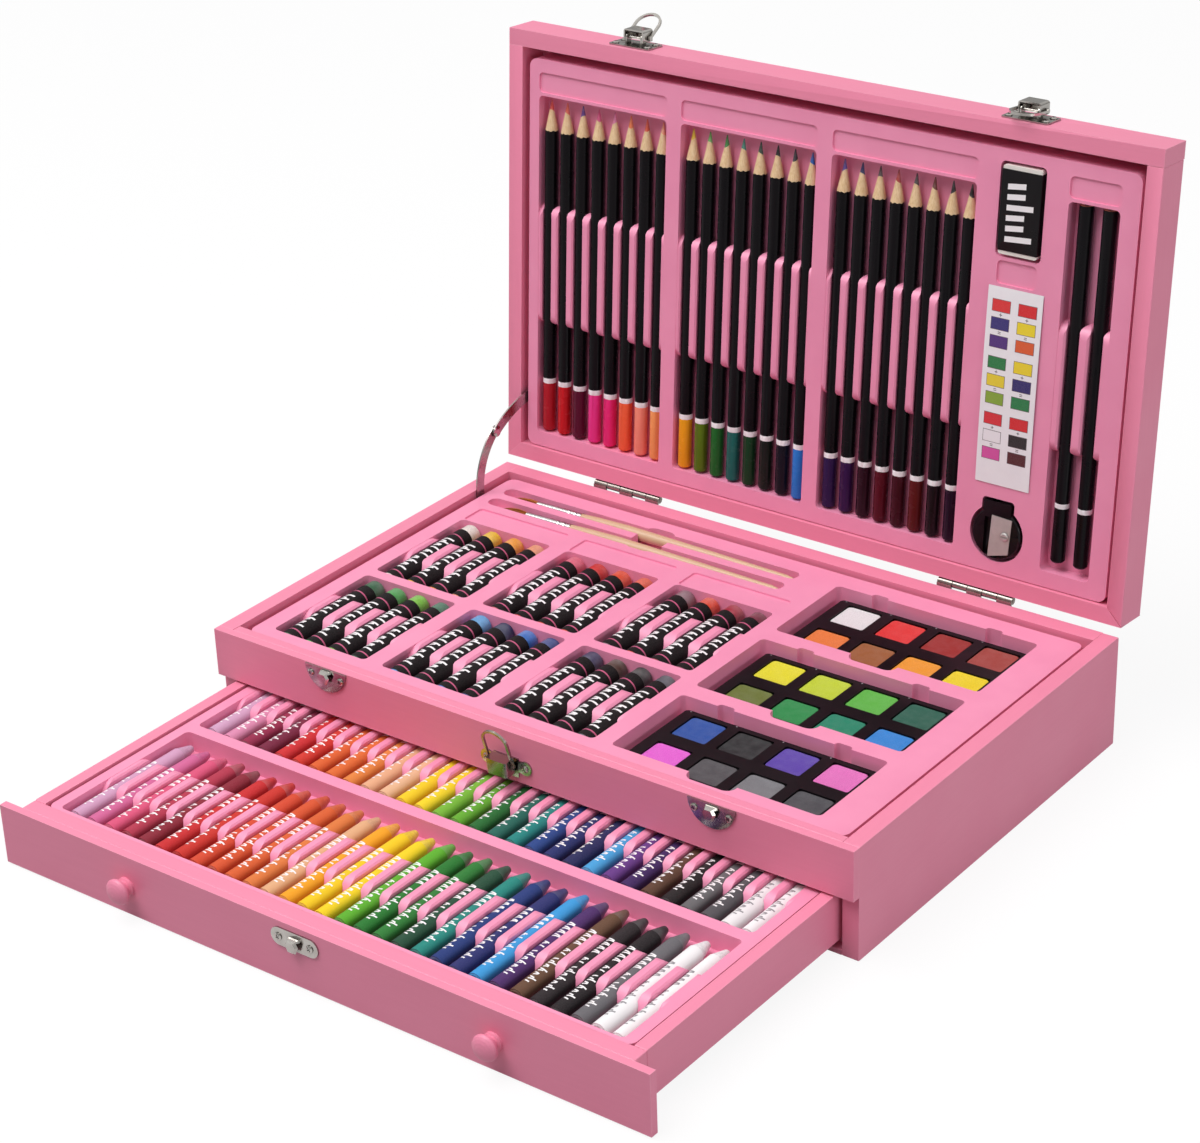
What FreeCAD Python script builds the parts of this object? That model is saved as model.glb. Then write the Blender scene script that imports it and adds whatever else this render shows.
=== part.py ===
import FreeCAD, Part
import math
import os

Vec = FreeCAD.Vector
X_AXIS = Vec(1, 0, 0)
Y_AXIS = Vec(0, 1, 0)
Z_AXIS = Vec(0, 0, 1)
ORIGIN = Vec(0, 0, 0)

# Artist's case: a box with a hinged lid that holds pencils, an upper tray of pastels, paints and
# brushes, and a crayon drawer. Millimetres. X runs along the width, +Y to the back, +Z up, and the
# origin is the centre of the face that the case stands on. It is built as it stands open: the lid
# is up and the drawer is pulled out.

# Case
CASE_WIDTH = 370.0
CASE_DEPTH = 232.0
BASE_HEIGHT = 58.0
LID_HEIGHT = 19.5
LID_SEAM = 0.5
LID_OPEN_DEG = 94.5
DRAWER_PULL = 148.0
SIDE_THICK = 8.5
BACK_THICK = 9.3
RAIL_THICK = 4.4
RAIL_BOTTOM = 32.8
INNER_RAIL_THICK = 5.0
LID_RAIL_THICK = 8.5
PANEL_THICK = 3.0
RUNNER_HEIGHT = 3.7
RUNNER_WIDTH = 9.0
MOVE_GAP = 0.3

# Drawer
DRAWER_TOP = 31.5
DRAWER_PANEL_FOOT = 0.8
DRAWER_DEPTH = 206.0
DRAWER_SIDE_GAP = 2.0
DRAWER_WALL = 6.5
DRAWER_INNER_FRONT = 8.4
KNOB_SPAN = 210.6
KNOB_HEIGHT = 15.6
KNOB_RADIUS = 6.4
KNOB_REACH = 9.2

# Trays
TRAY_SKIN = 1.2
TRAY_CORNER = 4.5
BASE_TRAY_DROP = 2.5
LID_TRAY_DROP = 2.0
DRAWER_TRAY_DROP = 1.0
DRAWER_TRAY_GAP = 1.2
STAY_SLOT = 3.4
RECESS_DEPTH = 1.0
RIDGE_ROOT = 0.5
RIDGE_CLEARANCE = 0.15
RIDGE_CROWN = 0.215
RIDGE_BEVEL = 0.35
RIDGE_DROP = 0.15
RIDGE_HUMP = 0.8
LID_TRAY_ENDS = (0.5, 5.4)
BASE_TRAY_GAP = 2.0

# What the trays hold. Along X it is placed from the tray's nearer end, along Y from the hinge edge
# or the front, and what lies between fills the room that the case leaves.

# Colour pencils
PENCIL_RADIUS = 3.5
PENCIL_SLACK = 3.5
PENCIL_CONE = 15.7
PENCIL_PITCH = 10.04
PENCIL_GROUPS = 3
PENCIL_GROUP_BAR = 8.7
PENCIL_MARGIN = (6.1, 84.1)
PENCIL_POCKET_DEPTH = 8.0
PENCIL_POCKET_SLACK = 0.32
PENCIL_START = 17.0
PENCIL_TAIL = 18.6
SKETCH_PITCH = 12.2
SKETCH_INSET = 22.9
SKETCH_POCKET = (26.4, 8.0)
SKETCH_SLACK = 6.6
LID_RIDGE = (60.0, 124.5)

# Eraser, card and sharpener
ERASER = (21.0, 42.5, 7.4)
ERASER_DEPTH = 6.2
ERASER_INSET = (60.2, 28.3)
SLEEVE_LENGTH = 38.8
SLEEVE_WALL = 0.3
CARD = (29.2, 0.4)
CARD_INSET = 59.4
CARD_START = 54.5
CARD_ERASER_GAP = 16.05
SHARPENER_RADIUS = 13.2
SHARPENER_HEIGHT = 7.0
SHARPENER_DEPTH = 6.2
SHARPENER_INSET = (60.6, 29.5)
SHARPENER_MOUTH = (15.0, 16.5)

# Pastels
PASTEL_RADIUS = 5.75
PASTEL_SLACK = 1.4
PASTEL_TIP = 8.0
PASTEL_PITCH = 14.5
PASTEL_POCKET_DEPTH = 12.0
PASTEL_POCKET_SLACK = 0.5
PASTEL_COLUMNS = 3
PASTEL_ROWS = 2
PASTEL_BAR = (10.2, 6.6)
PASTEL_MARGIN = (9.55, 8.2, 53.7)
PASTEL_RIDGE = 32.0

# Paint palettes
PALETTE = (108.5, 53.5, 6.4)
PALETTE_POCKET = (113.0, 56.0, 12.0)
PALETTE_BAR = 10.5
PALETTE_MARGIN = (9.65, 18.1, 8.6, 11.7)
PAN_SIZE = 19.5
PAN_PITCH = (25.7, 28.0)
PAN_HEIGHT = 4.2
PAN_SUNK = 0.5

# Brushes, each as its distance from the tray's back edge and its tip's from the tray's left end
BRUSH_ROWS = ((14.2, 13.1), (27.7, 16.1))
BRUSH_BRISTLE = 16.0
BRUSH_FERRULE = 29.0
BRUSH_PALETTE_GAP = 25.0
BRUSH_SLOT = (8.0, 6.0)
BRUSH_SLOT_ENDS = (7.1, 3.0)
FINGER_RECESS = (19.0, 25.0)
FINGER_RECESS_PLACE = (6.5, 20.2)

# Crayons
CRAYON_RADIUS = 4.1
CRAYON_SLACK = 7.1
CRAYON_CONE = 9.0
CRAYON_PITCH = 10.72
CRAYON_POCKET_DEPTH = 10.0
CRAYON_SIDE_MARGIN = 5.8
CRAYON_BAR = 6.9
CRAYON_MARGIN = (15.2, 13.7)
CRAYON_RIDGE = 34.0

# Hinges
HINGE_SPAN = 211.0
HINGE_LENGTH = 42.0
HINGE_KNUCKLES = 5
HINGE_AXIS_OUT = 2.4
HINGE_AXIS_UP = 1.7
KNUCKLE_RADIUS = 1.9
PIN_RADIUS = 0.8
PIN_CLEARANCE = 0.05
LEAF_THICK = 0.9
LEAF_HEIGHT = 12.0

# Latches
LATCH_SPAN = 224.0
LATCH_PLATE = (24.5, 12.9, 0.8)
LATCH_PLATE_OFFSET = 2.6
CENTRE_LATCH_X = -3.0
CENTRE_LATCH_Z = 40.5
CENTRE_PLATE_SPAN = 22.4
CENTRE_LOBE_RADIUS = 3.6
EAR_THICK = 0.8
EAR_SPAN = 9.2
LEVER_PIVOT_OUT = 4.0
LEVER_SIDE = 0.8
LEVER_WIDTH = 12.0
LEVER_TOP = 8.2
LEVER_BACK = 6.0
LEVER_FRONT = 2.2
CENTRE_LEVER_DEG = 5.0
LEVER_PIN_RADIUS = 0.7
BAIL_OFFSET = 2.6
BAIL_LENGTH = 14.6
CENTRE_BAIL_LENGTH = 18.6
BAIL_BAND = 1.2
LEFT_BAIL_DEG = 145.0
RIGHT_BAIL_DEG = 3.0
CENTRE_BAIL_DEG = 164.0
CATCH_PLATE = (25.6, 12.2, 0.8)
DRAWER_CATCH_PLATE = (27.0, 9.0, 0.8)
DRAWER_CATCH_Z = 24.0
HOOK = (9.4, 7.6, 3.0)
HOOK_FACET = 2.0
HOOK_SLOT = (1.7, 1.0)

# Lid stay, as distances from the back and the base's foot, and from the lid's hinge edge and rim
STAY_BASE_PIVOT = (34.0, 48.0)
STAY_LID_PIVOT = (36.0, 13.0)
STAY_LOWER = 40.5
STAY_UPPER = 38.8
STAY_THICK = 0.8
STAY_WIDTH = 6.0
STAY_PIN_RADIUS = 2.0
STAY_HEAD_RADIUS = 2.9
STAY_LOWER_BOW = 6.0
STAY_UPPER_BOW = 3.0
ELBOW_PIN_RADIUS = 1.5
ELBOW_CLEARANCE = 0.45

# Screws
SCREW_HEAD_RADIUS = 1.8
SCREW_HEAD_HEIGHT = 0.8
SCREW_SHANK_RADIUS = 0.9
SCREW_SHANK_LENGTH = 3.6
SCREW_SLOT = (2.2, 0.5, 0.4)

# Derived positions
FRONT = -CASE_DEPTH / 2
REAR = CASE_DEPTH / 2
HALF = CASE_WIDTH / 2
INNER = HALF - SIDE_THICK
SHELF_FOOT = RAIL_BOTTOM + 0.4
SHELF_TOP = SHELF_FOOT + PANEL_THICK
BASE_TRAY_TOP = BASE_HEIGHT - BASE_TRAY_DROP
DRAWER_FRONT = FRONT - DRAWER_PULL
DRAWER_FOOT = PANEL_THICK + RUNNER_HEIGHT + MOVE_GAP
DRAWER_HALF = INNER - DRAWER_SIDE_GAP
DRAWER_PANEL_THICK = RAIL_THICK - MOVE_GAP
DRAWER_TRAY_TOP = DRAWER_TOP - DRAWER_TRAY_DROP
DRAWER_TRAY_HALF = DRAWER_HALF - DRAWER_WALL - DRAWER_TRAY_GAP
BASE_TRAY_HALF = INNER - STAY_SLOT
BASE_TRAY_FRONT = FRONT + RAIL_THICK + INNER_RAIL_THICK + BASE_TRAY_GAP
BASE_TRAY_REAR = REAR - BACK_THICK - BASE_TRAY_GAP
LID_TRAY_LEFT = STAY_SLOT - INNER
LID_TRAY_RIGHT = HALF - LID_RAIL_THICK - 2.0
LID_TRAY_START = LID_RAIL_THICK + LID_TRAY_ENDS[0]
LID_TRAY_END = CASE_DEPTH - LID_RAIL_THICK - LID_TRAY_ENDS[1]
LID_RIM = BASE_HEIGHT + LID_SEAM
LID_PANEL_FACE = PANEL_THICK - LID_HEIGHT
HINGE_Y = REAR + HINGE_AXIS_OUT
HINGE_Z = BASE_HEIGHT + HINGE_AXIS_UP

# Derived contents
PENCIL_CELL = (LID_TRAY_RIGHT - LID_TRAY_LEFT - sum(PENCIL_MARGIN)
               - (PENCIL_GROUPS - 1) * PENCIL_GROUP_BAR) / PENCIL_GROUPS
PENCIL_COUNT = int((PENCIL_CELL + PENCIL_POCKET_SLACK) / PENCIL_PITCH)
PENCIL_POCKET_LENGTH = LID_TRAY_END - PENCIL_TAIL - PENCIL_START
PENCIL_POCKET = (PENCIL_COUNT * PENCIL_PITCH - PENCIL_POCKET_SLACK, PENCIL_POCKET_LENGTH)
PENCIL_LENGTH = PENCIL_POCKET_LENGTH - PENCIL_SLACK
SKETCH_CENTRE = LID_TRAY_RIGHT - SKETCH_INSET
SKETCH_LENGTH = PENCIL_POCKET_LENGTH - SKETCH_SLACK
ERASER_CENTRE = (LID_TRAY_RIGHT - ERASER_INSET[0], LID_TRAY_END - ERASER_INSET[1])
CARD_LENGTH = ERASER_CENTRE[1] - ERASER[1] / 2 - CARD_ERASER_GAP - CARD_START
CARD_CENTRE = (LID_TRAY_RIGHT - CARD_INSET, CARD_START + CARD_LENGTH / 2)
SHARPENER_CENTRE = (LID_TRAY_RIGHT - SHARPENER_INSET[0], SHARPENER_INSET[1])
PALETTE_SPAN = BASE_TRAY_REAR - BASE_TRAY_FRONT - PALETTE_MARGIN[2] - PALETTE_MARGIN[3]
PALETTE_PITCH = PALETTE_POCKET[1] + PALETTE_BAR
PALETTE_COUNT = int((PALETTE_SPAN + PALETTE_BAR) / PALETTE_PITCH + 0.001)
PALETTE_LEFT = BASE_TRAY_HALF - PALETTE_MARGIN[1] - PALETTE_POCKET[0]
PASTEL_CELL = ((PALETTE_LEFT - PALETTE_MARGIN[0] + BASE_TRAY_HALF - PASTEL_MARGIN[0]
                - (PASTEL_COLUMNS - 1) * PASTEL_BAR[0]) / PASTEL_COLUMNS)
PASTEL_COUNT = int((PASTEL_CELL - PASTEL_POCKET_SLACK) / PASTEL_PITCH + 0.001)
PASTEL_POCKET = (PASTEL_COUNT * PASTEL_PITCH + PASTEL_POCKET_SLACK,
                 (BASE_TRAY_REAR - BASE_TRAY_FRONT - PASTEL_MARGIN[1] - PASTEL_MARGIN[2]
                  - (PASTEL_ROWS - 1) * PASTEL_BAR[1]) / PASTEL_ROWS)
PASTEL_LENGTH = PASTEL_POCKET[1] - PASTEL_SLACK
BRUSH_END = PALETTE_LEFT - BRUSH_PALETTE_GAP
CRAYON_POCKET = (2 * (DRAWER_TRAY_HALF - CRAYON_SIDE_MARGIN),
                 (DRAWER_DEPTH - sum(CRAYON_MARGIN) - CRAYON_BAR) / 2)
CRAYON_COUNT = int(CRAYON_POCKET[0] / CRAYON_PITCH)
CRAYON_LENGTH = CRAYON_POCKET[1] - CRAYON_SLACK


def block(x0, x1, y0, y1, z0, z1):
    """A box between two corners."""
    return Part.makeBox(x1 - x0, y1 - y0, z1 - z0, Vec(x0, y0, z0))


def rounded_block(x0, x1, y0, y1, z0, z1, radius):
    """A box whose upright edges are rounded."""
    body = block(x0, x1, y0, y1, z0, z1)
    upright = [e for e in body.Edges if abs(e.Vertexes[0].Z - e.Vertexes[1].Z) > 1e-6]
    return body.makeFillet(radius, upright)


def centred_block(centre, size, z0, z1, radius):
    """A rounded box given by its centre and size in plan."""
    x, y = centre
    half_x = size[0] / 2
    half_y = size[1] / 2
    return rounded_block(x - half_x, x + half_x, y - half_y, y + half_y, z0, z1, radius)


def prism(points, axis_vector):
    """A solid with straight sides from a closed outline of points."""
    return Part.Face(Part.makePolygon(points + [points[0]])).extrude(axis_vector)


def rod(base, axis, length, radius):
    """A round bar."""
    return Part.makeCylinder(radius, length, base, axis)


def lathe(profile, base, axis):
    """A turned solid from (distance along the axis, radius) points."""
    points = [Vec(radius, 0, along) for along, radius in profile]
    body = Part.Face(Part.makePolygon(points + [points[0]])).revolve(ORIGIN, Z_AXIS, 360)
    body.Placement = FreeCAD.Placement(base, FreeCAD.Rotation(Z_AXIS, axis))
    return body


def ridge(x, y0, y1, floor, top, stick_radius, pitch):
    """A hump between two sticks, whose flanks lean over and hold them down."""
    reach = stick_radius + RIDGE_CLEARANCE
    foot = pitch / 2 - reach
    crown = pitch * RIDGE_CROWN
    middle = floor + stick_radius
    lean = math.acos((pitch / 2 - crown) / reach)

    def flank(angle):
        """A point of the right flank, which runs round the stick beside it."""
        return Vec(x + pitch / 2 - reach * math.cos(angle), y0, middle + reach * math.sin(angle))

    def mirrored(point):
        """The same point of the left flank."""
        return Vec(2 * x - point.x, y0, point.z)

    start = Vec(x + foot, y0, floor - RIDGE_ROOT)
    waist = flank(0)
    belly = flank(lean / 2)
    brim = flank(lean)
    bevel = RIDGE_BEVEL * crown
    shoulder = Vec(x + crown, y0, top - bevel)
    edge = Vec(x + crown - bevel, y0, top)
    edges = [Part.makeLine(mirrored(start), start), Part.makeLine(start, waist),
             Part.Arc(waist, belly, brim).toShape(), Part.makeLine(brim, shoulder),
             Part.makeLine(shoulder, edge), Part.makeLine(edge, mirrored(edge)),
             Part.makeLine(mirrored(edge), mirrored(shoulder)),
             Part.makeLine(mirrored(shoulder), mirrored(brim)),
             Part.Arc(mirrored(brim), mirrored(belly), mirrored(waist)).toShape(),
             Part.makeLine(mirrored(waist), mirrored(start))]
    bar = Part.Face(Part.Wire(edges)).extrude(Vec(0, y1 - y0, 0))
    plan = rounded_block(x - crown, x + crown, y0, y1, floor - 1, top, crown * 0.98)
    hump = block(x - pitch, x + pitch, y0, y1, floor - 1, top)
    brows = [e for e in hump.Edges if min(v.Z for v in e.Vertexes) > top - 1e-6
             and abs(e.Vertexes[0].X - e.Vertexes[1].X) > pitch]
    hump = hump.makeFillet((top - floor) * RIDGE_HUMP, brows)
    return bar.common(plan).common(hump)


def tray(x0, x1, y0, y1, top, foot, pockets, ridges):
    """A moulded tray: a skin with tubs for its pockets and a skirt that it stands on."""
    skin = rounded_block(x0, x1, y0, y1, foot, top, TRAY_CORNER)
    hollow = rounded_block(x0 + TRAY_SKIN, x1 - TRAY_SKIN, y0 + TRAY_SKIN, y1 - TRAY_SKIN,
                           foot, top - TRAY_SKIN, TRAY_CORNER - TRAY_SKIN)
    tubs = []
    holes = []
    for centre, size, depth, radius in pockets:
        holes.append(centred_block(centre, size, top - depth, top + 1, radius))
        outer = (size[0] + 2 * TRAY_SKIN, size[1] + 2 * TRAY_SKIN)
        tubs.append(centred_block(centre, outer, top - depth - TRAY_SKIN, top, radius + TRAY_SKIN))
    body = skin.cut(hollow).multiFuse(tubs).cut(holes)
    if ridges:
        body = body.multiFuse(ridges)
    return body.removeSplitter()


def row(count, pitch):
    """Evenly spaced positions about zero."""
    return [(i - (count - 1) / 2) * pitch for i in range(count)]


def screw(base, outward):
    """A pan-head screw that stands on a plate, with a cross in its head."""
    head = SCREW_HEAD_HEIGHT
    body = lathe([(-SCREW_SHANK_LENGTH, 0), (-SCREW_SHANK_LENGTH, SCREW_SHANK_RADIUS * 0.4),
                  (-SCREW_SHANK_LENGTH * 0.7, SCREW_SHANK_RADIUS), (0, SCREW_SHANK_RADIUS),
                  (0, SCREW_HEAD_RADIUS), (head * 0.5, SCREW_HEAD_RADIUS),
                  (head, SCREW_HEAD_RADIUS * 0.6), (head, 0)], ORIGIN, Z_AXIS)
    length, width, depth = SCREW_SLOT
    for turn in (0, 90):
        slot = block(-length / 2, length / 2, -width / 2, width / 2, head - depth, head + 1)
        slot.rotate(ORIGIN, Z_AXIS, turn + 35)
        body = body.cut(slot)
    body.Placement = FreeCAD.Placement(base, FreeCAD.Rotation(Z_AXIS, outward))
    return body


def screw_hole(base, outward):
    """The hole that a screw's shank fills."""
    return rod(base - outward * (SCREW_SHANK_LENGTH + 0.2), outward,
               SCREW_SHANK_LENGTH + 0.2, SCREW_SHANK_RADIUS)


def lid_place(shape):
    """Moves a shape from the lid's own frame to where it is with the lid open.

    In the lid's own frame Y runs from the hinge edge to the front edge, and Z is 0 at the rim and
    falls towards the lid's outer face.
    """
    placed = shape.copy()
    placed.rotate(ORIGIN, X_AXIS, 180)
    placed.translate(Vec(0, REAR, LID_RIM))
    placed.rotate(Vec(0, HINGE_Y, HINGE_Z), X_AXIS, -LID_OPEN_DEG)
    return placed


def lid_latch_place(shape, side):
    """Moves a latch part from the latch's frame to the lid's front rail."""
    placed = shape.copy()
    centre = -LATCH_PLATE_OFFSET - LATCH_PLATE[1] / 2
    placed.translate(Vec(side * LATCH_SPAN / 2, CASE_DEPTH, centre))
    return lid_place(placed)


def centre_latch_place(shape):
    """Moves a latch part from the latch's frame to the base's front rail."""
    placed = shape.copy()
    placed.rotate(ORIGIN, X_AXIS, 180)
    placed.translate(Vec(CENTRE_LATCH_X, FRONT, CENTRE_LATCH_Z))
    return placed


# Case woodwork

def base_sides():
    """The two side panels, left then right."""
    left = block(-HALF, -INNER, FRONT + RAIL_THICK, REAR, 0, BASE_HEIGHT)
    left = left.cut(rod(Vec(-INNER - 2.0, REAR - STAY_BASE_PIVOT[0], STAY_BASE_PIVOT[1]),
                        X_AXIS, 3.0, STAY_PIN_RADIUS))
    right = block(INNER, HALF, FRONT + RAIL_THICK, REAR, 0, BASE_HEIGHT)
    return left, right


def base_back():
    """The back wall, between the sides."""
    wall = block(-INNER, INNER, REAR - BACK_THICK, REAR, 0, BASE_HEIGHT)
    return wall.cut([screw_hole(p, Y_AXIS) for p in base_leaf_screws()])


def base_bottom():
    """The bottom board, between the sides."""
    return block(-INNER, INNER, FRONT + RAIL_THICK, REAR - BACK_THICK, 0, PANEL_THICK)


def front_rail():
    """The rail across the front above the drawer, with its screw holes."""
    rail = block(-HALF, HALF, FRONT, FRONT + RAIL_THICK, RAIL_BOTTOM, BASE_HEIGHT)
    points = base_catch_screws() + centre_plate_screws()
    return rail.cut([screw_hole(p, -Y_AXIS) for p in points])


def inner_rail():
    """The board behind the front rail that the tray meets."""
    return block(-INNER, INNER, FRONT + RAIL_THICK, FRONT + RAIL_THICK + INNER_RAIL_THICK,
                 RAIL_BOTTOM, BASE_HEIGHT)


def shelf():
    """The panel under the upper tray and over the drawer."""
    return block(-INNER, INNER, FRONT + RAIL_THICK + INNER_RAIL_THICK, REAR - BACK_THICK,
                 SHELF_FOOT, SHELF_TOP)


def runners():
    """The two strips that the drawer slides on."""
    strips = []
    for side in (-1, 1):
        outer = side * INNER
        inner = side * (INNER - RUNNER_WIDTH)
        strips.append(block(min(outer, inner), max(outer, inner), FRONT + RAIL_THICK + INNER_RAIL_THICK,
                            REAR - BACK_THICK, PANEL_THICK, PANEL_THICK + RUNNER_HEIGHT))
    return Part.makeCompound(strips)


def lid_rails():
    """The lid's four rails: left, right, front and back, mitred at the hinge side."""
    thick = LID_RAIL_THICK
    inner = HALF - thick
    depth = CASE_DEPTH - thick
    rails = {}
    for name, side in (("left", -1), ("right", 1)):
        outline = [Vec(side * HALF, 0, -LID_HEIGHT), Vec(side * inner, thick, -LID_HEIGHT),
                   Vec(side * inner, depth, -LID_HEIGHT), Vec(side * HALF, depth, -LID_HEIGHT)]
        rails[name] = prism(outline, Vec(0, 0, LID_HEIGHT))
    pin = rod(Vec(-inner - 2.0, STAY_LID_PIVOT[0], -STAY_LID_PIVOT[1]), X_AXIS, 3.0, STAY_PIN_RADIUS)
    rails["left"] = rails["left"].cut(pin)
    rails["front"] = block(-HALF, HALF, depth, CASE_DEPTH, -LID_HEIGHT, 0)
    rails["front"] = rails["front"].cut([screw_hole(p, Y_AXIS) for p in lid_plate_screws()])
    outline = [Vec(-HALF, 0, -LID_HEIGHT), Vec(HALF, 0, -LID_HEIGHT),
               Vec(inner, thick, -LID_HEIGHT), Vec(-inner, thick, -LID_HEIGHT)]
    rails["back"] = prism(outline, Vec(0, 0, LID_HEIGHT))
    rails["back"] = rails["back"].cut([screw_hole(p, -Y_AXIS) for p in lid_leaf_screws()])
    return rails


def lid_panel():
    """The lid's top panel, let in between its rails."""
    inner = HALF - LID_RAIL_THICK
    return block(-inner, inner, LID_RAIL_THICK, CASE_DEPTH - LID_RAIL_THICK,
                 -LID_HEIGHT, LID_PANEL_FACE)


# Drawer woodwork

def drawer_front():
    """The drawer's front panel, as wide as the case."""
    panel = block(-HALF, HALF, DRAWER_FRONT, DRAWER_FRONT + DRAWER_PANEL_THICK,
                  DRAWER_PANEL_FOOT, DRAWER_TOP)
    return panel.cut([screw_hole(p, -Y_AXIS) for p in drawer_catch_screws()])


def drawer_inner_front():
    """The thick board behind the front panel."""
    start = DRAWER_FRONT + DRAWER_PANEL_THICK
    return block(-DRAWER_HALF, DRAWER_HALF, start, start + DRAWER_INNER_FRONT, DRAWER_FOOT, DRAWER_TOP)


def drawer_sides():
    """The drawer's left and right sides."""
    start = DRAWER_FRONT + DRAWER_PANEL_THICK + DRAWER_INNER_FRONT
    end = DRAWER_FRONT + DRAWER_DEPTH
    inner = DRAWER_HALF - DRAWER_WALL
    left = block(-DRAWER_HALF, -inner, start, end, DRAWER_FOOT, DRAWER_TOP)
    right = block(inner, DRAWER_HALF, start, end, DRAWER_FOOT, DRAWER_TOP)
    return left, right


def drawer_back():
    """The drawer's back, between its sides."""
    inner = DRAWER_HALF - DRAWER_WALL
    end = DRAWER_FRONT + DRAWER_DEPTH
    return block(-inner, inner, end - DRAWER_WALL, end, DRAWER_FOOT, DRAWER_TOP)


def drawer_bottom():
    """The drawer's bottom board, inside its walls."""
    inner = DRAWER_HALF - DRAWER_WALL
    return block(-inner, inner, DRAWER_FRONT + DRAWER_PANEL_THICK + DRAWER_INNER_FRONT,
                 DRAWER_FRONT + DRAWER_DEPTH - DRAWER_WALL, DRAWER_FOOT, DRAWER_FOOT + PANEL_THICK)


def knobs():
    """The two turned knobs on the drawer's front."""
    r = KNOB_RADIUS
    reach = KNOB_REACH
    profile = [(0, 0), (0, r * 0.72), (reach * 0.12, r * 0.72), (reach * 0.2, r * 0.56)]
    for i in range(9):
        angle = math.radians(-50 + i * 140 / 8)
        profile.append((reach * 0.64 + reach * 0.36 * math.sin(angle), r * math.cos(angle)))
    profile.append((reach, 0))
    return Part.makeCompound([lathe(profile, Vec(x, DRAWER_FRONT, KNOB_HEIGHT), -Y_AXIS)
                              for x in (-KNOB_SPAN / 2, KNOB_SPAN / 2)])


# Base tray and what it holds

def pastel_centres():
    """The centre of each pastel pocket."""
    first_x = -BASE_TRAY_HALF + PASTEL_MARGIN[0] + PASTEL_CELL / 2
    first_y = BASE_TRAY_FRONT + PASTEL_MARGIN[1] + PASTEL_POCKET[1] / 2
    pitch_x = PASTEL_CELL + PASTEL_BAR[0]
    pitch_y = PASTEL_POCKET[1] + PASTEL_BAR[1]
    return [(first_x + i * pitch_x, first_y + j * pitch_y)
            for j in range(PASTEL_ROWS) for i in range(PASTEL_COLUMNS)]


def palette_centres():
    """The centre of each palette pocket."""
    x = PALETTE_LEFT + PALETTE_POCKET[0] / 2
    y = BASE_TRAY_FRONT + PALETTE_MARGIN[2] + PALETTE_POCKET[1] / 2
    return [(x, y + i * PALETTE_PITCH) for i in range(PALETTE_COUNT)]


def base_tray():
    """The upper tray, with pockets for pastels, palettes and brushes."""
    pockets = []
    ridges = []
    floor = BASE_TRAY_TOP - PASTEL_POCKET_DEPTH
    for x, y in pastel_centres():
        pockets.append(((x, y), PASTEL_POCKET, PASTEL_POCKET_DEPTH, 2.5))
        for offset in row(PASTEL_COUNT + 1, PASTEL_PITCH):
            ridges.append(ridge(x + offset, y - PASTEL_RIDGE / 2, y + PASTEL_RIDGE / 2, floor,
                                BASE_TRAY_TOP - RIDGE_DROP, PASTEL_RADIUS, PASTEL_PITCH))
    for x, y in pastel_centres()[-PASTEL_COLUMNS:]:
        recess_y = y + PASTEL_POCKET[1] / 2 + 8.2
        pockets.append(((x, recess_y), (PASTEL_POCKET[0], 15.0), RECESS_DEPTH, 2.0))
    for x, y in palette_centres():
        pockets.append(((x, y), PALETTE_POCKET, PALETTE_POCKET[2], 2.5))
        pockets.append(((x, y - PALETTE_POCKET[1] / 2), (26.0, 11.0), PALETTE_POCKET[2] - 2.0, 5.0))
        for side in (-1, 1):
            notch = (x + side * 32.0, y + PALETTE_POCKET[1] / 2)
            pockets.append((notch, (9.0, 4.4), PALETTE_POCKET[2] - 2.0, 2.0))
    width, depth = BRUSH_SLOT
    slot_start = -BASE_TRAY_HALF + BRUSH_SLOT_ENDS[0]
    slot_end = BRUSH_END + BRUSH_SLOT_ENDS[1]
    slot_x = (slot_start + slot_end) / 2
    for back, tip in BRUSH_ROWS:
        pockets.append(((slot_x, BASE_TRAY_REAR - back), (slot_end - slot_start, width), depth,
                        width / 2 - 0.1))
    recess = (slot_x + FINGER_RECESS_PLACE[0], BASE_TRAY_REAR - FINGER_RECESS_PLACE[1])
    pockets.append((recess, FINGER_RECESS, depth + 1.0, 6.0))
    return tray(-BASE_TRAY_HALF, BASE_TRAY_HALF, BASE_TRAY_FRONT, BASE_TRAY_REAR,
                BASE_TRAY_TOP, SHELF_TOP, pockets, ridges)


def pastels():
    """The oil pastels: a round stick in a wrapper, bare at its back end."""
    r = PASTEL_RADIUS
    body = PASTEL_LENGTH - PASTEL_TIP
    profile = [(0, 0), (0, r - 0.7), (0.3, r - 0.4), (0.3, r), (body, r), (body, r - 0.5),
               (PASTEL_LENGTH - 0.8, r - 0.5), (PASTEL_LENGTH, r - 1.3), (PASTEL_LENGTH, 0)]
    z = BASE_TRAY_TOP - PASTEL_POCKET_DEPTH + r
    sticks = []
    for x, y in pastel_centres():
        for offset in row(PASTEL_COUNT, PASTEL_PITCH):
            sticks.append(lathe(profile, Vec(x + offset, y - PASTEL_LENGTH / 2, z), Y_AXIS))
    return Part.makeCompound(sticks)


def palette_origin(centre):
    """Where a palette lies in its pocket: against the pocket's right and front sides."""
    x, y = centre
    gap = 0.2
    return (x + (PALETTE_POCKET[0] - PALETTE[0]) / 2 - gap, y - (PALETTE_POCKET[1] - PALETTE[1]) / 2 + gap)


def pan_spots():
    """The centre of every paint pan."""
    spots = []
    for centre in palette_centres():
        x, y = palette_origin(centre)
        spots += [(x + dx, y + dy) for dy in row(2, PAN_PITCH[1]) for dx in row(4, PAN_PITCH[0])]
    return spots


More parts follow.
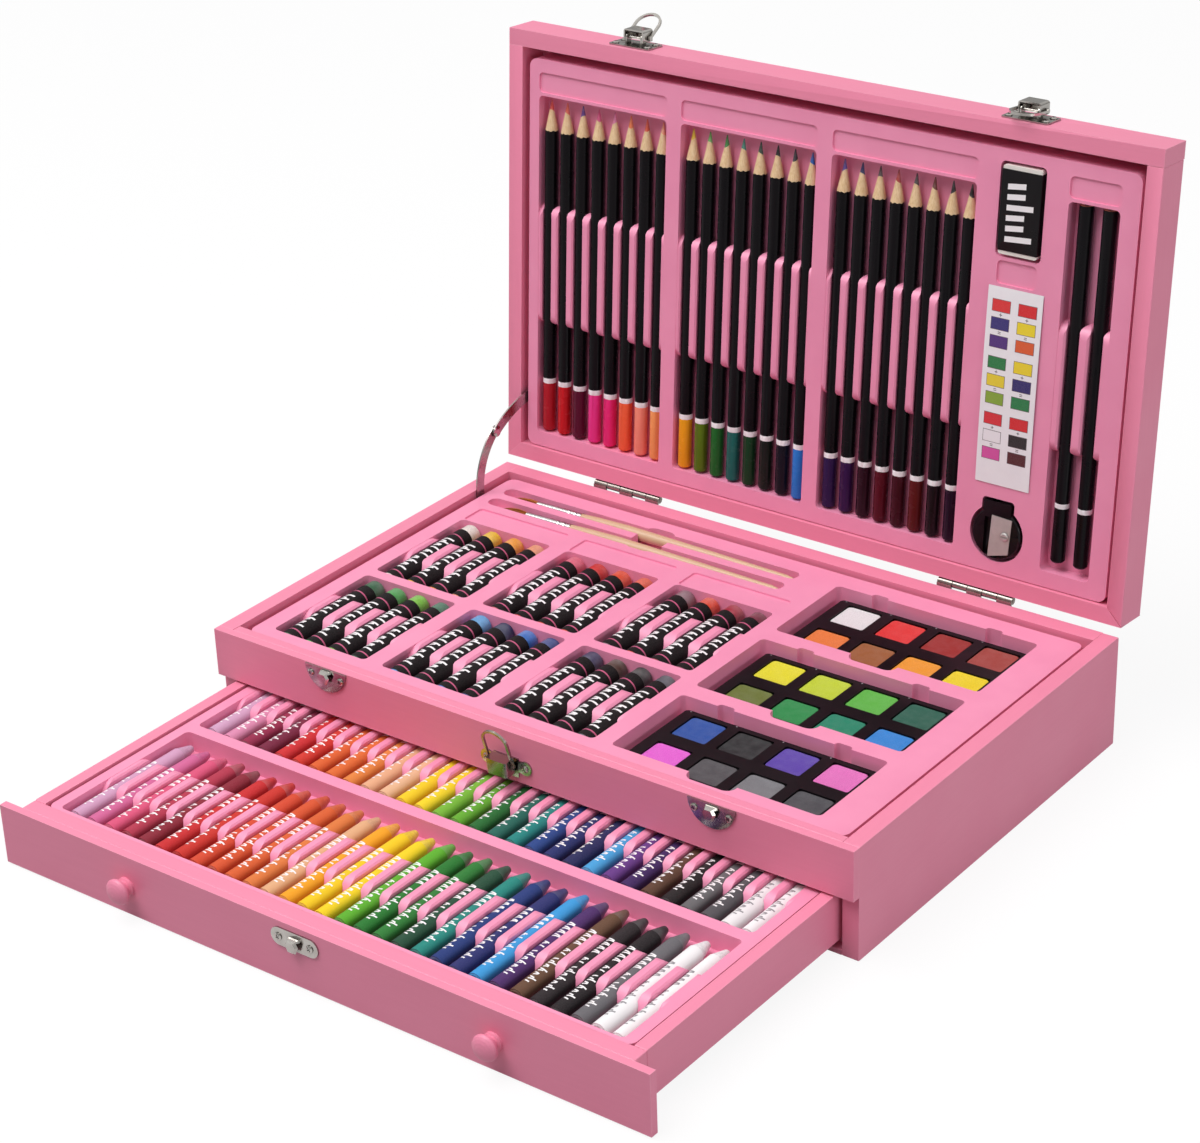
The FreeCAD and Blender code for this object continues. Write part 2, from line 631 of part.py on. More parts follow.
def palettes():
    """The three black palette frames with square wells."""
    z0 = BASE_TRAY_TOP - PALETTE_POCKET[2]
    z1 = z0 + PALETTE[2]
    well = PAN_SIZE + 0.1
    frames = []
    for centre in palette_centres():
        x, y = palette_origin(centre)
        frame = centred_block((x, y), PALETTE, z0, z1, 2.0)
        wells = []
        for dy in row(2, PAN_PITCH[1]):
            for dx in row(4, PAN_PITCH[0]):
                wells.append(centred_block((x + dx, y + dy), (well, well),
                                           z1 - PAN_SUNK - PAN_HEIGHT, z1 + 1, 1.0))
        frames.append(frame.cut(wells))
    return Part.makeCompound(frames)


def pans():
    """The cakes of paint, each with a softened top edge."""
    top = BASE_TRAY_TOP - PALETTE_POCKET[2] + PALETTE[2] - PAN_SUNK
    cakes = []
    for spot in pan_spots():
        cake = centred_block(spot, (PAN_SIZE, PAN_SIZE), top - PAN_HEIGHT, top, 0.9)
        upper = [e for e in cake.Edges if min(v.Z for v in e.Vertexes) > top - 1e-6]
        cakes.append(cake.makeFillet(0.8, upper))
    return Part.makeCompound(cakes)


def brush_height():
    """The height of a brush's axis in its slot."""
    return BASE_TRAY_TOP - BRUSH_SLOT[1] + 3.3


def brush_tips():
    """Where each brush's tip is, as (x, y)."""
    return [(tip - BASE_TRAY_HALF, BASE_TRAY_REAR - back) for back, tip in BRUSH_ROWS]


def brush_handles():
    """The two turned wooden handles."""
    handles = []
    for tip, y in brush_tips():
        start = tip + BRUSH_BRISTLE + BRUSH_FERRULE
        span = BRUSH_END - start
        profile = [(0, 0), (0, 2.2), (span * 0.08, 2.7), (span * 0.22, 3.2), (span * 0.4, 2.9),
                   (span * 0.97, 1.7), (span, 1.1), (span, 0)]
        handles.append(lathe(profile, Vec(start, y, brush_height()), X_AXIS))
    return Part.makeCompound(handles)


def brush_ferrules():
    """The metal tube on each brush, crimped twice near the handle."""
    tubes = []
    span = BRUSH_FERRULE
    for tip, y in brush_tips():
        profile = [(0, 0), (0, 2.0), (span * 0.72, 2.5), (span * 0.75, 2.3), (span * 0.78, 2.5),
                   (span * 0.85, 2.5), (span * 0.88, 2.3), (span * 0.91, 2.5), (span, 2.5), (span, 0)]
        tubes.append(lathe(profile, Vec(tip + BRUSH_BRISTLE, y, brush_height()), X_AXIS))
    return Part.makeCompound(tubes)


def brush_bristles():
    """The two tufts of bristle."""
    tufts = []
    span = BRUSH_BRISTLE
    for tip, y in brush_tips():
        profile = [(0, 0), (span * 0.1, 0.7), (span * 0.35, 1.7), (span * 0.65, 2.3), (span, 2.0), (span, 0)]
        tufts.append(lathe(profile, Vec(tip, y, brush_height()), X_AXIS))
    return Part.makeCompound(tufts)


# Drawer tray and crayons

def crayon_rows():
    """The centre of each crayon pocket along Y."""
    first = DRAWER_FRONT + CRAYON_MARGIN[0] + CRAYON_POCKET[1] / 2
    return [first, first + CRAYON_POCKET[1] + CRAYON_BAR]


def drawer_tray():
    """The drawer's tray, with one wide pocket for each row of crayons."""
    floor = DRAWER_TRAY_TOP - CRAYON_POCKET_DEPTH
    pockets = []
    ridges = []
    for y in crayon_rows():
        pockets.append(((0, y), CRAYON_POCKET, CRAYON_POCKET_DEPTH, 2.5))
        for x in row(CRAYON_COUNT + 1, CRAYON_PITCH):
            ridges.append(ridge(x, y - CRAYON_RIDGE / 2, y + CRAYON_RIDGE / 2, floor,
                                DRAWER_TRAY_TOP - RIDGE_DROP, CRAYON_RADIUS, CRAYON_PITCH))
    return tray(-DRAWER_TRAY_HALF, DRAWER_TRAY_HALF, DRAWER_FRONT + DRAWER_PANEL_THICK + DRAWER_INNER_FRONT,
                DRAWER_FRONT + DRAWER_DEPTH - DRAWER_WALL, DRAWER_TRAY_TOP,
                DRAWER_FOOT + PANEL_THICK, pockets, ridges)


def crayons(y):
    """A row of crayons: a wrapped stick with a blunt cone."""
    r = CRAYON_RADIUS
    body = CRAYON_LENGTH - CRAYON_CONE
    profile = [(0, 0), (0, r - 0.6), (0.3, r - 0.3), (0.3, r), (body, r), (body, r - 0.3),
               (body + 1.0, r - 0.4), (CRAYON_LENGTH - 0.6, 1.5), (CRAYON_LENGTH, 0.9), (CRAYON_LENGTH, 0)]
    z = DRAWER_TRAY_TOP - CRAYON_POCKET_DEPTH + r
    return Part.makeCompound([lathe(profile, Vec(x, y - CRAYON_LENGTH / 2, z), Y_AXIS)
                              for x in row(CRAYON_COUNT, CRAYON_PITCH)])


# Lid tray and what it holds, in the lid's own frame

def pencil_groups():
    """The centre along X of each pencil pocket."""
    first = LID_TRAY_LEFT + PENCIL_MARGIN[0] + PENCIL_CELL / 2
    return [first + i * (PENCIL_CELL + PENCIL_GROUP_BAR) for i in range(PENCIL_GROUPS)]


def pencil_ridge(x, pitch, depth):
    """One ridge beside a pencil."""
    top = -LID_TRAY_DROP
    return ridge(x, PENCIL_START + LID_RIDGE[0], PENCIL_START + LID_RIDGE[1], top - depth,
                 top - RIDGE_DROP, PENCIL_RADIUS, pitch)


def lid_tray():
    """The lid's tray, with pockets for pencils, eraser and sharpener."""
    pockets = []
    ridges = []
    y = PENCIL_START + PENCIL_POCKET_LENGTH / 2
    recess_y = PENCIL_START + PENCIL_POCKET_LENGTH + 6.8
    for x in pencil_groups():
        pockets.append(((x, y), PENCIL_POCKET, PENCIL_POCKET_DEPTH, 2.5))
        pockets.append(((x, recess_y), (PENCIL_POCKET[0], 10.4), RECESS_DEPTH, 2.5))
        ridges += [pencil_ridge(x + offset, PENCIL_PITCH, PENCIL_POCKET_DEPTH)
                   for offset in row(PENCIL_COUNT + 1, PENCIL_PITCH)]
    width, depth = SKETCH_POCKET
    pockets.append(((SKETCH_CENTRE, y), (width, PENCIL_POCKET_LENGTH), depth, 2.5))
    pockets.append(((SKETCH_CENTRE, recess_y), (width, 10.4), RECESS_DEPTH, 2.5))
    ridges += [pencil_ridge(SKETCH_CENTRE + offset, SKETCH_PITCH, depth) for offset in row(3, SKETCH_PITCH)]
    x, y = ERASER_CENTRE
    pockets.append(((x, y), (ERASER[0] + 3.0, ERASER[1] + 3.0), ERASER_DEPTH, 2.5))
    pockets.append(((x, y - ERASER[1] / 2 - 9.0), (ERASER[0], 11.5), RECESS_DEPTH, 2.5))
    x, y = SHARPENER_CENTRE
    wide = 2 * SHARPENER_RADIUS + 2.6
    mouth, reach = SHARPENER_MOUTH
    pockets.append(((x, y), (wide, wide), SHARPENER_DEPTH, wide / 2 - 0.4))
    pockets.append(((x, y + reach / 2), (mouth + 2.6, reach + 2.6), SHARPENER_DEPTH, 2.0))
    return tray(LID_TRAY_LEFT, LID_TRAY_RIGHT, LID_TRAY_START, LID_TRAY_END, -LID_TRAY_DROP,
                LID_PANEL_FACE, pockets, ridges)


def pencil(x, start, length, bed):
    """A sharpened pencil that lies along the lid's Y axis."""
    r = PENCIL_RADIUS
    shoulder = length - PENCIL_CONE
    profile = [(0, 0), (0, r - 0.4), (0.4, r), (shoulder, r), (length - 5.4, 1.2),
               (length - 0.6, 0.45), (length, 0.3), (length, 0)]
    return lathe(profile, Vec(x, start, bed + r), Y_AXIS)


def colour_pencils():
    """The colour pencils, in their groups."""
    bed = -LID_TRAY_DROP - PENCIL_POCKET_DEPTH
    return Part.makeCompound([pencil(x + offset, PENCIL_START + 1.0, PENCIL_LENGTH, bed)
                              for x in pencil_groups() for offset in row(PENCIL_COUNT, PENCIL_PITCH)])


def sketch_pencils():
    """The two unsharpened drawing pencils."""
    bed = -LID_TRAY_DROP - SKETCH_POCKET[1]
    r = PENCIL_RADIUS
    profile = [(0, 0), (0, r - 0.3), (0.3, r), (SKETCH_LENGTH - 0.2, r), (SKETCH_LENGTH, r - 0.2),
               (SKETCH_LENGTH, 0)]
    return Part.makeCompound([lathe(profile, Vec(SKETCH_CENTRE + offset, PENCIL_START + 5.0, bed + r), Y_AXIS)
                              for offset in row(2, SKETCH_PITCH)])


def eraser():
    """The eraser and the card sleeve around it."""
    bed = -LID_TRAY_DROP - ERASER_DEPTH
    wall = SLEEVE_WALL
    size = (ERASER[0] - 2 * wall, ERASER[1])
    core = centred_block(ERASER_CENTRE, size, bed + wall, bed + ERASER[2] - wall, 1.2)
    x, y = ERASER_CENTRE
    half = ERASER[0] / 2
    sleeve = block(x - half, x + half, y - SLEEVE_LENGTH / 2, y + SLEEVE_LENGTH / 2, bed, bed + ERASER[2])
    sleeve = sleeve.cut(block(x - half + wall, x + half - wall, y - SLEEVE_LENGTH, y + SLEEVE_LENGTH,
                              bed + wall, bed + ERASER[2] - wall))
    return core, sleeve


def colour_card():
    """The colour-mixing card that lies on the tray."""
    width, thick = CARD
    return centred_block(CARD_CENTRE, (width, CARD_LENGTH), -LID_TRAY_DROP, -LID_TRAY_DROP + thick, 0.8)


def sharpener():
    """The round sharpener: its body, blade and screw."""
    x, y = SHARPENER_CENTRE
    bed = -LID_TRAY_DROP - SHARPENER_DEPTH
    top = bed + SHARPENER_HEIGHT
    width, reach = SHARPENER_MOUTH
    r = SHARPENER_RADIUS
    height = SHARPENER_HEIGHT
    disc = lathe([(0, 0), (0, r), (height - 0.7, r), (height, r - 0.7), (height, 0)], Vec(x, y, bed), Z_AXIS)
    body = disc.fuse(block(x - width / 2, x + width / 2, y, y + reach, bed, top)).removeSplitter()
    bore = Part.makeCone(1.2, 3.0, 24.0, Vec(x - 1.5, y + reach - 23.5, bed + 3.5), Y_AXIS)
    chips = prism([Vec(x - 6.5, y - 11.0, top - 2.2), Vec(x + 1.0, y - 12.5, top - 2.2),
                   Vec(x + 3.0, y + 7.0, top - 2.2), Vec(x - 6.5, y + 8.0, top - 2.2)], Vec(0, 0, 3.0))
    body = body.cut([bore, chips, rod(Vec(x + 5.2, y, top - 3.0), Z_AXIS, 4.0, 0.9)])
    blade = prism([Vec(x - 3.4, y - 12.0, 0), Vec(x + 7.6, y - 9.0, 0), Vec(x + 8.6, y + 9.0, 0),
                   Vec(x - 2.4, y + 9.6, 0)], Vec(0, 0, 0.5))
    blade.translate(Vec(0, 0, top))
    blade = blade.cut(rod(Vec(x + 5.2, y, top - 1.0), Z_AXIS, 3.0, 0.9))
    pin = lathe([(-2.8, 0), (-2.8, 0.9), (0, 0.9), (0, 2.2), (0.4, 2.2), (0.8, 1.5), (0.8, 0)],
                Vec(x + 5.2, y, top + 0.5), Z_AXIS)
    pin = pin.cut(block(x + 2.0, x + 8.4, y - 0.3, y + 0.3, top + 1.0, top + 2.0))
    return body, blade, pin


# Hinges

def hinge_centres():
    """The centre of each hinge along X."""
    return (-HINGE_SPAN / 2, HINGE_SPAN / 2)


def leaf_screw_offsets():
    """Where a leaf's screws are: along the leaf, and away from the hinge's axis."""
    return [(-15.0, 5.5), (15.0, 5.5), (-7.5, 10.2), (7.5, 10.2)]


def base_leaf_screws():
    """The wall points that the base leaves' screws go in at."""
    return [Vec(x + dx, REAR, HINGE_Z - dz) for x in hinge_centres() for dx, dz in leaf_screw_offsets()]


def lid_leaf_screws():
    """The same points on the lid's back rail, in the lid's own frame."""
    foot = LID_SEAM - HINGE_AXIS_UP
    return [Vec(x + dx, 0, -(dz - foot)) for x in hinge_centres() for dx, dz in leaf_screw_offsets()]


def leaf(x, knuckles, bore, upward):
    """One hinge leaf with its share of the knuckles, closed, on the case's back."""
    low = KNUCKLE_RADIUS + MOVE_GAP
    sign = 1 if upward else -1
    ends = sorted((HINGE_Z + sign * low, HINGE_Z + sign * LEAF_HEIGHT))
    body = block(x - HINGE_LENGTH / 2, x + HINGE_LENGTH / 2, REAR, REAR + LEAF_THICK, ends[0], ends[1])
    width = HINGE_LENGTH / HINGE_KNUCKLES
    parts = []
    for i in knuckles:
        x0 = x - HINGE_LENGTH / 2 + i * width + MOVE_GAP / 2
        x1 = x0 + width - MOVE_GAP
        parts.append(rod(Vec(x0, HINGE_Y, HINGE_Z), X_AXIS, x1 - x0, KNUCKLE_RADIUS))
        ends = sorted((HINGE_Z, HINGE_Z + sign * (low + 0.5)))
        parts.append(block(x0, x1, REAR, REAR + LEAF_THICK, ends[0], ends[1]))
        ends = sorted((HINGE_Z, HINGE_Z + sign * KNUCKLE_RADIUS * 0.7))
        parts.append(block(x0, x1, REAR + 0.5, HINGE_Y, ends[0], ends[1]))
    body = body.multiFuse(parts).removeSplitter()
    return body.cut(rod(Vec(x - HINGE_LENGTH, HINGE_Y, HINGE_Z), X_AXIS, 2 * HINGE_LENGTH, bore))


def base_leaves():
    """The two leaves on the base's back wall, which hold the pins."""
    leaves = [leaf(x, (0, 2, 4), PIN_RADIUS, False) for x in hinge_centres()]
    holes = [rod(p, Y_AXIS, LEAF_THICK, SCREW_SHANK_RADIUS) for p in base_leaf_screws()]
    return Part.makeCompound([part.cut(holes) for part in leaves])


def lid_leaves():
    """The two leaves on the lid's back rail, as they are with the lid open."""
    leaves = [leaf(x, (1, 3), PIN_RADIUS + PIN_CLEARANCE, True) for x in hinge_centres()]
    holes = [rod(Vec(p.x, REAR, LID_RIM - p.z), Y_AXIS, LEAF_THICK, SCREW_SHANK_RADIUS)
             for p in lid_leaf_screws()]
    both = Part.makeCompound([part.cut(holes) for part in leaves])
    both.rotate(Vec(0, HINGE_Y, HINGE_Z), X_AXIS, -LID_OPEN_DEG)
    return both


def hinge_pins():
    """The two hinge pins."""
    return Part.makeCompound([rod(Vec(x - HINGE_LENGTH / 2, HINGE_Y, HINGE_Z), X_AXIS,
                                  HINGE_LENGTH, PIN_RADIUS) for x in hinge_centres()])


# Latches. In a latch's frame Y points out of the wood and Z towards the catch.

def lid_plate_spots():
    """Where the screws of a lid latch's plate are, in the latch's frame."""
    return [(sx * 9.6, sz * 3.7) for sx in (-1, 1) for sz in (-1, 1)]


def lid_plate_screws():
    """The wood points of those screws on the lid's front rail, in the lid's own frame."""
    centre = -LATCH_PLATE_OFFSET - LATCH_PLATE[1] / 2
    return [Vec(side * LATCH_SPAN / 2 + x, CASE_DEPTH, centre + z)
            for side in (-1, 1) for x, z in lid_plate_spots()]


def ears(root):
    """The two ears that hold a lever's pin, on a plate."""
    pair = []
    for side in (-1, 1):
        x0 = side * EAR_SPAN / 2 - EAR_THICK / 2
        outline = block(x0, x0 + EAR_THICK, root, LEVER_PIVOT_OUT, -2.0, 2.0)
        pair.append(outline.fuse(rod(Vec(x0, LEVER_PIVOT_OUT, 0), X_AXIS, EAR_THICK, 2.0)))
    return pair


def pivot_hole():
    """The running hole for a lever's pin."""
    return rod(Vec(-LEVER_WIDTH, LEVER_PIVOT_OUT, 0), X_AXIS, 2 * LEVER_WIDTH,
               LEVER_PIN_RADIUS + PIN_CLEARANCE)


def lid_latch_plate():
    """A rectangular latch plate with ears and four screw holes."""
    width, height, thick = LATCH_PLATE
    plate = block(-width / 2, width / 2, 0, thick, -height / 2, height / 2)
    corners = [e for e in plate.Edges if abs(e.Vertexes[0].Y - e.Vertexes[1].Y) > 1e-6]
    plate = plate.makeFillet(1.2, corners).multiFuse(ears(thick)).removeSplitter()
    holes = [rod(Vec(x, 0, z), Y_AXIS, thick, SCREW_SHANK_RADIUS) for x, z in lid_plate_spots()]
    return plate.cut(holes + [pivot_hole()])


def centre_plate_screws():
    """The wood points of the centre latch's two screws."""
    return [Vec(CENTRE_LATCH_X + side * CENTRE_PLATE_SPAN / 2, FRONT, CENTRE_LATCH_Z + 1.0)
            for side in (-1, 1)]


def centre_latch_plate():
    """The centre latch's plate: a middle field with a round lobe for a screw on each side."""
    thick = LATCH_PLATE[2]
    half = CENTRE_PLATE_SPAN / 2
    plate = block(-half + 4.0, half - 4.0, 0, thick, -5.0, 4.8)
    arm = block(-half, half, 0, thick, -4.0, 2.0)
    lobes = [rod(Vec(side * half, 0, -1.0), Y_AXIS, thick, CENTRE_LOBE_RADIUS) for side in (-1, 1)]
    plate = plate.multiFuse([arm] + lobes + ears(thick)).removeSplitter()
    holes = [rod(Vec(side * half, 0, -1.0), Y_AXIS, thick, SCREW_SHANK_RADIUS) for side in (-1, 1)]
    return plate.cut(holes + [pivot_hole()])


def lever(turn):
    """A pressed sheet lever: a hood over the ears, its pin, and holes for the bail."""
    half = LEVER_WIDTH / 2
    hood = block(-half, half, 2.0, LEVER_TOP, -LEVER_BACK, LEVER_FRONT)
    lengthways = [e for e in hood.Edges if abs(e.Vertexes[0].Z - e.Vertexes[1].Z) > 1e-6
                  and e.Vertexes[0].Y > LEVER_TOP - 1e-6]
    hood = hood.makeFillet(1.4, lengthways)
    hollow = block(-half + LEVER_SIDE, half - LEVER_SIDE, 0, LEVER_TOP - LEVER_SIDE,
                   -LEVER_BACK + LEVER_SIDE, LEVER_FRONT + 1)
    hood = hood.cut(hollow)
    pin = rod(Vec(-half, LEVER_PIVOT_OUT, 0), X_AXIS, LEVER_WIDTH, LEVER_PIN_RADIUS)
    hood = hood.fuse(pin).removeSplitter()
    hood = hood.cut(rod(Vec(-half - 1, LEVER_PIVOT_OUT, -BAIL_OFFSET), X_AXIS, LEVER_SIDE + 1,
                        LEVER_PIN_RADIUS + PIN_CLEARANCE))
    hood = hood.cut(rod(Vec(half - LEVER_SIDE, LEVER_PIVOT_OUT, -BAIL_OFFSET), X_AXIS, LEVER_SIDE + 1,
                        LEVER_PIN_RADIUS + PIN_CLEARANCE))
    hood.rotate(Vec(0, LEVER_PIVOT_OUT, 0), X_AXIS, turn)
    return hood


def bail(length, raised, turn):
    """A D-shaped loop whose legs end in studs that turn in the lever's sides."""
    half = BAIL_BAND / 2
    inner = LEVER_WIDTH / 2 + MOVE_GAP
    outer = inner + BAIL_BAND
    straight = length - inner
    band = block(-outer, outer, -half, half, 0, straight)
    band = band.fuse(rod(Vec(0, -half, straight), Y_AXIS, BAIL_BAND, outer))
    window = block(-inner, inner, -1, 1, -outer, straight)
    window = window.fuse(rod(Vec(0, -1, straight), Y_AXIS, 2, inner))
    band = band.cut(window)
    ends = []
    for side in (-1, 1):
        x0 = min(side * inner, side * outer)
        ends.append(rod(Vec(x0, 0, 0), X_AXIS, BAIL_BAND, 1.2))
        x0 = min(side * (inner - MOVE_GAP - LEVER_SIDE), side * inner)
        ends.append(rod(Vec(x0, 0, 0), X_AXIS, MOVE_GAP + LEVER_SIDE, LEVER_PIN_RADIUS))
    band = band.multiFuse(ends).removeSplitter()
    band.rotate(ORIGIN, X_AXIS, -raised)
    pivot = bail_pivot(turn)
    band.translate(Vec(0, pivot[0], pivot[1]))
    return band


def bail_pivot(turn):
    """The bail's axis in the latch's frame, as (out of the wood, towards the catch)."""
    angle = math.radians(turn)
    return (LEVER_PIVOT_OUT + BAIL_OFFSET * math.sin(angle), -BAIL_OFFSET * math.cos(angle))


def hook(top_z, plate_thick):
    """A faceted boss on a catch plate, slotted from below so that a bail catches behind it."""
    width, height, out = HOOK
    face = plate_thick + out
    slot, roof = HOOK_SLOT

    def outline(y, inset):
        """A six-sided outline, drawn in by an inset."""
        half = width / 2 - inset
        top = top_z - inset * 0.4
        foot = top_z - height + inset
        corners = [(-half * 0.6, top), (half * 0.6, top), (half, top - (top - foot) * 0.38),
                   (half * 0.55, foot), (-half * 0.55, foot), (-half, top - (top - foot) * 0.38)]
        return Part.makePolygon([Vec(x, y, z) for x, z in corners + corners[:1]])

    boss = Part.makeLoft([outline(plate_thick, 0), outline(face, HOOK_FACET)], True, True)
    gap = block(-width, width, plate_thick, plate_thick + slot, top_z - height - 1, top_z - roof)
    return boss.cut(gap)


def catch_frame(shape, x, z):
    """Turns a catch built with Y out of the wood and Z up to face the case's front."""
    placed = shape.copy()
    placed.rotate(ORIGIN, Z_AXIS, 180)
    placed.translate(Vec(x, FRONT, z))
    return placed


def base_catch_screws():
    """The wood points of the base catches' screws."""
    return [Vec(side * LATCH_SPAN / 2 + dx, FRONT, BASE_HEIGHT - 4.6) for side in (-1, 1) for dx in (-9.2, 9.2)]


def base_catches():
    """The two half-moon catches on the front rail."""
    width, height, thick = CATCH_PLATE
    radius = (width * width / 4 + height * height) / (2 * height)
    disc = rod(Vec(0, 0, radius - height), Y_AXIS, thick, radius)
    moon = disc.common(block(-width / 2, width / 2, 0, thick, -height, 0))
    plate = moon.fuse(hook(-0.9, thick)).removeSplitter()
    plate = plate.cut([rod(Vec(dx, 0, -4.6 + 0.4), Y_AXIS, thick, SCREW_SHANK_RADIUS) for dx in (-9.2, 9.2)])
    return Part.makeCompound([catch_frame(plate, side * LATCH_SPAN / 2, BASE_HEIGHT - 0.4) for side in (-1, 1)])


def drawer_catch_screws():
    """The wood points of the drawer catch's screws."""
    return [Vec(CENTRE_LATCH_X + dx, DRAWER_FRONT, DRAWER_CATCH_Z) for dx in (-9.0, 9.0)]


def drawer_catch():
    """The drawer's catch: an oval plate with a hook in its middle."""
    width, height, thick = DRAWER_CATCH_PLATE
    half = (width - height) / 2
    plate = block(-half, half, 0, thick, -height / 2, height / 2)
    ends = [rod(Vec(side * half, 0, 0), Y_AXIS, thick, height / 2) for side in (-1, 1)]
    plate = plate.multiFuse(ends + [hook(2.0, thick)]).removeSplitter()
    plate = plate.cut([rod(Vec(dx, 0, 0), Y_AXIS, thick, SCREW_SHANK_RADIUS) for dx in (-9.0, 9.0)])
    plate = catch_frame(plate, CENTRE_LATCH_X, DRAWER_CATCH_Z)
    plate.translate(Vec(0, -DRAWER_PULL, 0))
    return plate


# Screws, one node for each moving body

def raised_screws(points, outward, plate):
    """Screws whose heads stand on a plate of the given thickness."""
    return [screw(p + outward * plate, outward) for p in points]


def base_screws():
    """The screws in the base's hinge leaves, catches and centre latch."""
    front = base_catch_screws() + centre_plate_screws()
    return Part.makeCompound(raised_screws(base_leaf_screws(), Y_AXIS, LEAF_THICK)
                             + raised_screws(front, -Y_AXIS, LATCH_PLATE[2]))


def lid_screws():
    """The screws in the lid's hinge leaves and latch plates."""
    return lid_place(Part.makeCompound(raised_screws(lid_leaf_screws(), -Y_AXIS, LEAF_THICK)
                                       + raised_screws(lid_plate_screws(), Y_AXIS, LATCH_PLATE[2])))


def drawer_screws():
    """The drawer catch's screws."""
    return Part.makeCompound(raised_screws(drawer_catch_screws(), -Y_AXIS, DRAWER_CATCH_PLATE[2]))


# Lid stay: two flat arms beside the left wall

LOWER_ARM_X = -INNER + MOVE_GAP
UPPER_ARM_X = LOWER_ARM_X + STAY_THICK + MOVE_GAP


def stay_base_pivot():
    """The lower arm's axis on the base, as (y, z)."""
    return (REAR - STAY_BASE_PIVOT[0], STAY_BASE_PIVOT[1])


def stay_lid_pivot():
    """The upper arm's axis on the open lid, as (y, z)."""
    spot = Part.Vertex(0, STAY_LID_PIVOT[0], -STAY_LID_PIVOT[1])
    placed = lid_place(spot)
    return (placed.Y, placed.Z)


def stay_elbow():
    """The elbow's axis: where the two arms' reaches meet, on the front side."""
    ay, az = stay_base_pivot()
    by, bz = stay_lid_pivot()
    span = math.hypot(by - ay, bz - az)
    along = (STAY_LOWER ** 2 - STAY_UPPER ** 2 + span ** 2) / (2 * span)
    off = math.sqrt(STAY_LOWER ** 2 - along ** 2)
    uy = (by - ay) / span
    uz = (bz - az) / span
    return (ay + uy * along - uz * off, az + uz * along + uy * off)


def bowed_arm(start, end, bow, x, hole_start, hole_end):
    """A flat arm along a shallow arc, with round ends and a hole in each."""
    y0, z0 = start
    y1, z1 = end
    span = math.hypot(y1 - y0, z1 - z0)
    radius = (span * span / 4 + bow * bow) / (2 * bow)
    uy = (y1 - y0) / span
    uz = (z1 - z0) / span
    mid_y = (y0 + y1) / 2
    mid_z = (z0 + z1) / 2
    half = STAY_WIDTH / 2

    def on_arc(offset):
        """Start, middle and end of the arm's middle line, moved sideways by an offset."""
        centre_y = mid_y + uz * (radius - bow)
        centre_z = mid_z - uy * (radius - bow)
        scale = (radius + offset) / radius
        ends = [Vec(x, centre_y + (py - centre_y) * scale, centre_z + (pz - centre_z) * scale)
                for py, pz in (start, end)]
        top = Vec(x, mid_y - uz * (bow + offset), mid_z + uy * (bow + offset))
        return ends[0], top, ends[1]

    outer = on_arc(half)
    inner = on_arc(-half)
    edges = [Part.Arc(*outer).toShape(), Part.makeLine(outer[2], inner[2]),
             Part.Arc(inner[2], inner[1], inner[0]).toShape(), Part.makeLine(inner[0], outer[0])]
    band = Part.Face(Part.Wire(edges)).extrude(Vec(STAY_THICK, 0, 0))
    discs = [rod(Vec(x, py, pz), X_AXIS, STAY_THICK, half) for py, pz in (start, end)]
    arm = band.multiFuse(discs).removeSplitter()
    return arm.cut([rod(Vec(x, y0, z0), X_AXIS, STAY_THICK, hole_start),
                    rod(Vec(x, y1, z1), X_AXIS, STAY_THICK, hole_end)])


def stay_lower_arm():
    """The arm from the base's wall to the elbow."""
    return bowed_arm(stay_base_pivot(), stay_elbow(), STAY_LOWER_BOW, LOWER_ARM_X,
                     STAY_PIN_RADIUS + PIN_CLEARANCE, ELBOW_PIN_RADIUS)


def stay_upper_arm():
    """The arm from the elbow to the lid's rail."""
    return bowed_arm(stay_elbow(), stay_lid_pivot(), STAY_UPPER_BOW, UPPER_ARM_X,
                     ELBOW_PIN_RADIUS + ELBOW_CLEARANCE, STAY_PIN_RADIUS + PIN_CLEARANCE)


def wall_rivet(spot, arm_x):
    """A rivet in a wall: a collar, a shank through the arm, and a head."""
    y, z = spot
    seat = arm_x - PIN_CLEARANCE
    head = arm_x + STAY_THICK + PIN_CLEARANCE
    collar = rod(Vec(-INNER, y, z), X_AXIS, seat + INNER, STAY_HEAD_RADIUS)
    shank = rod(Vec(-INNER - 2.0, y, z), X_AXIS, head + INNER + 2.0, STAY_PIN_RADIUS)
    cap = lathe([(0, 0), (0, STAY_HEAD_RADIUS), (0.3, STAY_HEAD_RADIUS), (0.7, STAY_HEAD_RADIUS * 0.5),
                 (0.7, 0)], Vec(head, y, z), X_AXIS)
    return collar.multiFuse([shank, cap]).removeSplitter()


def elbow_rivet():
    """The rivet at the elbow, fast in the lower arm and loose in the upper one."""
    y, z = stay_elbow()
    head = UPPER_ARM_X + STAY_THICK + PIN_CLEARANCE
    shank = rod(Vec(LOWER_ARM_X, y, z), X_AXIS, head - LOWER_ARM_X, ELBOW_PIN_RADIUS)
    cap = lathe([(0, 0), (0, STAY_HEAD_RADIUS), (0.3, STAY_HEAD_RADIUS), (0.6, STAY_HEAD_RADIUS * 0.5),
                 (0.6, 0)], Vec(head, y, z), X_AXIS)
    return shank.fuse(cap).removeSplitter()


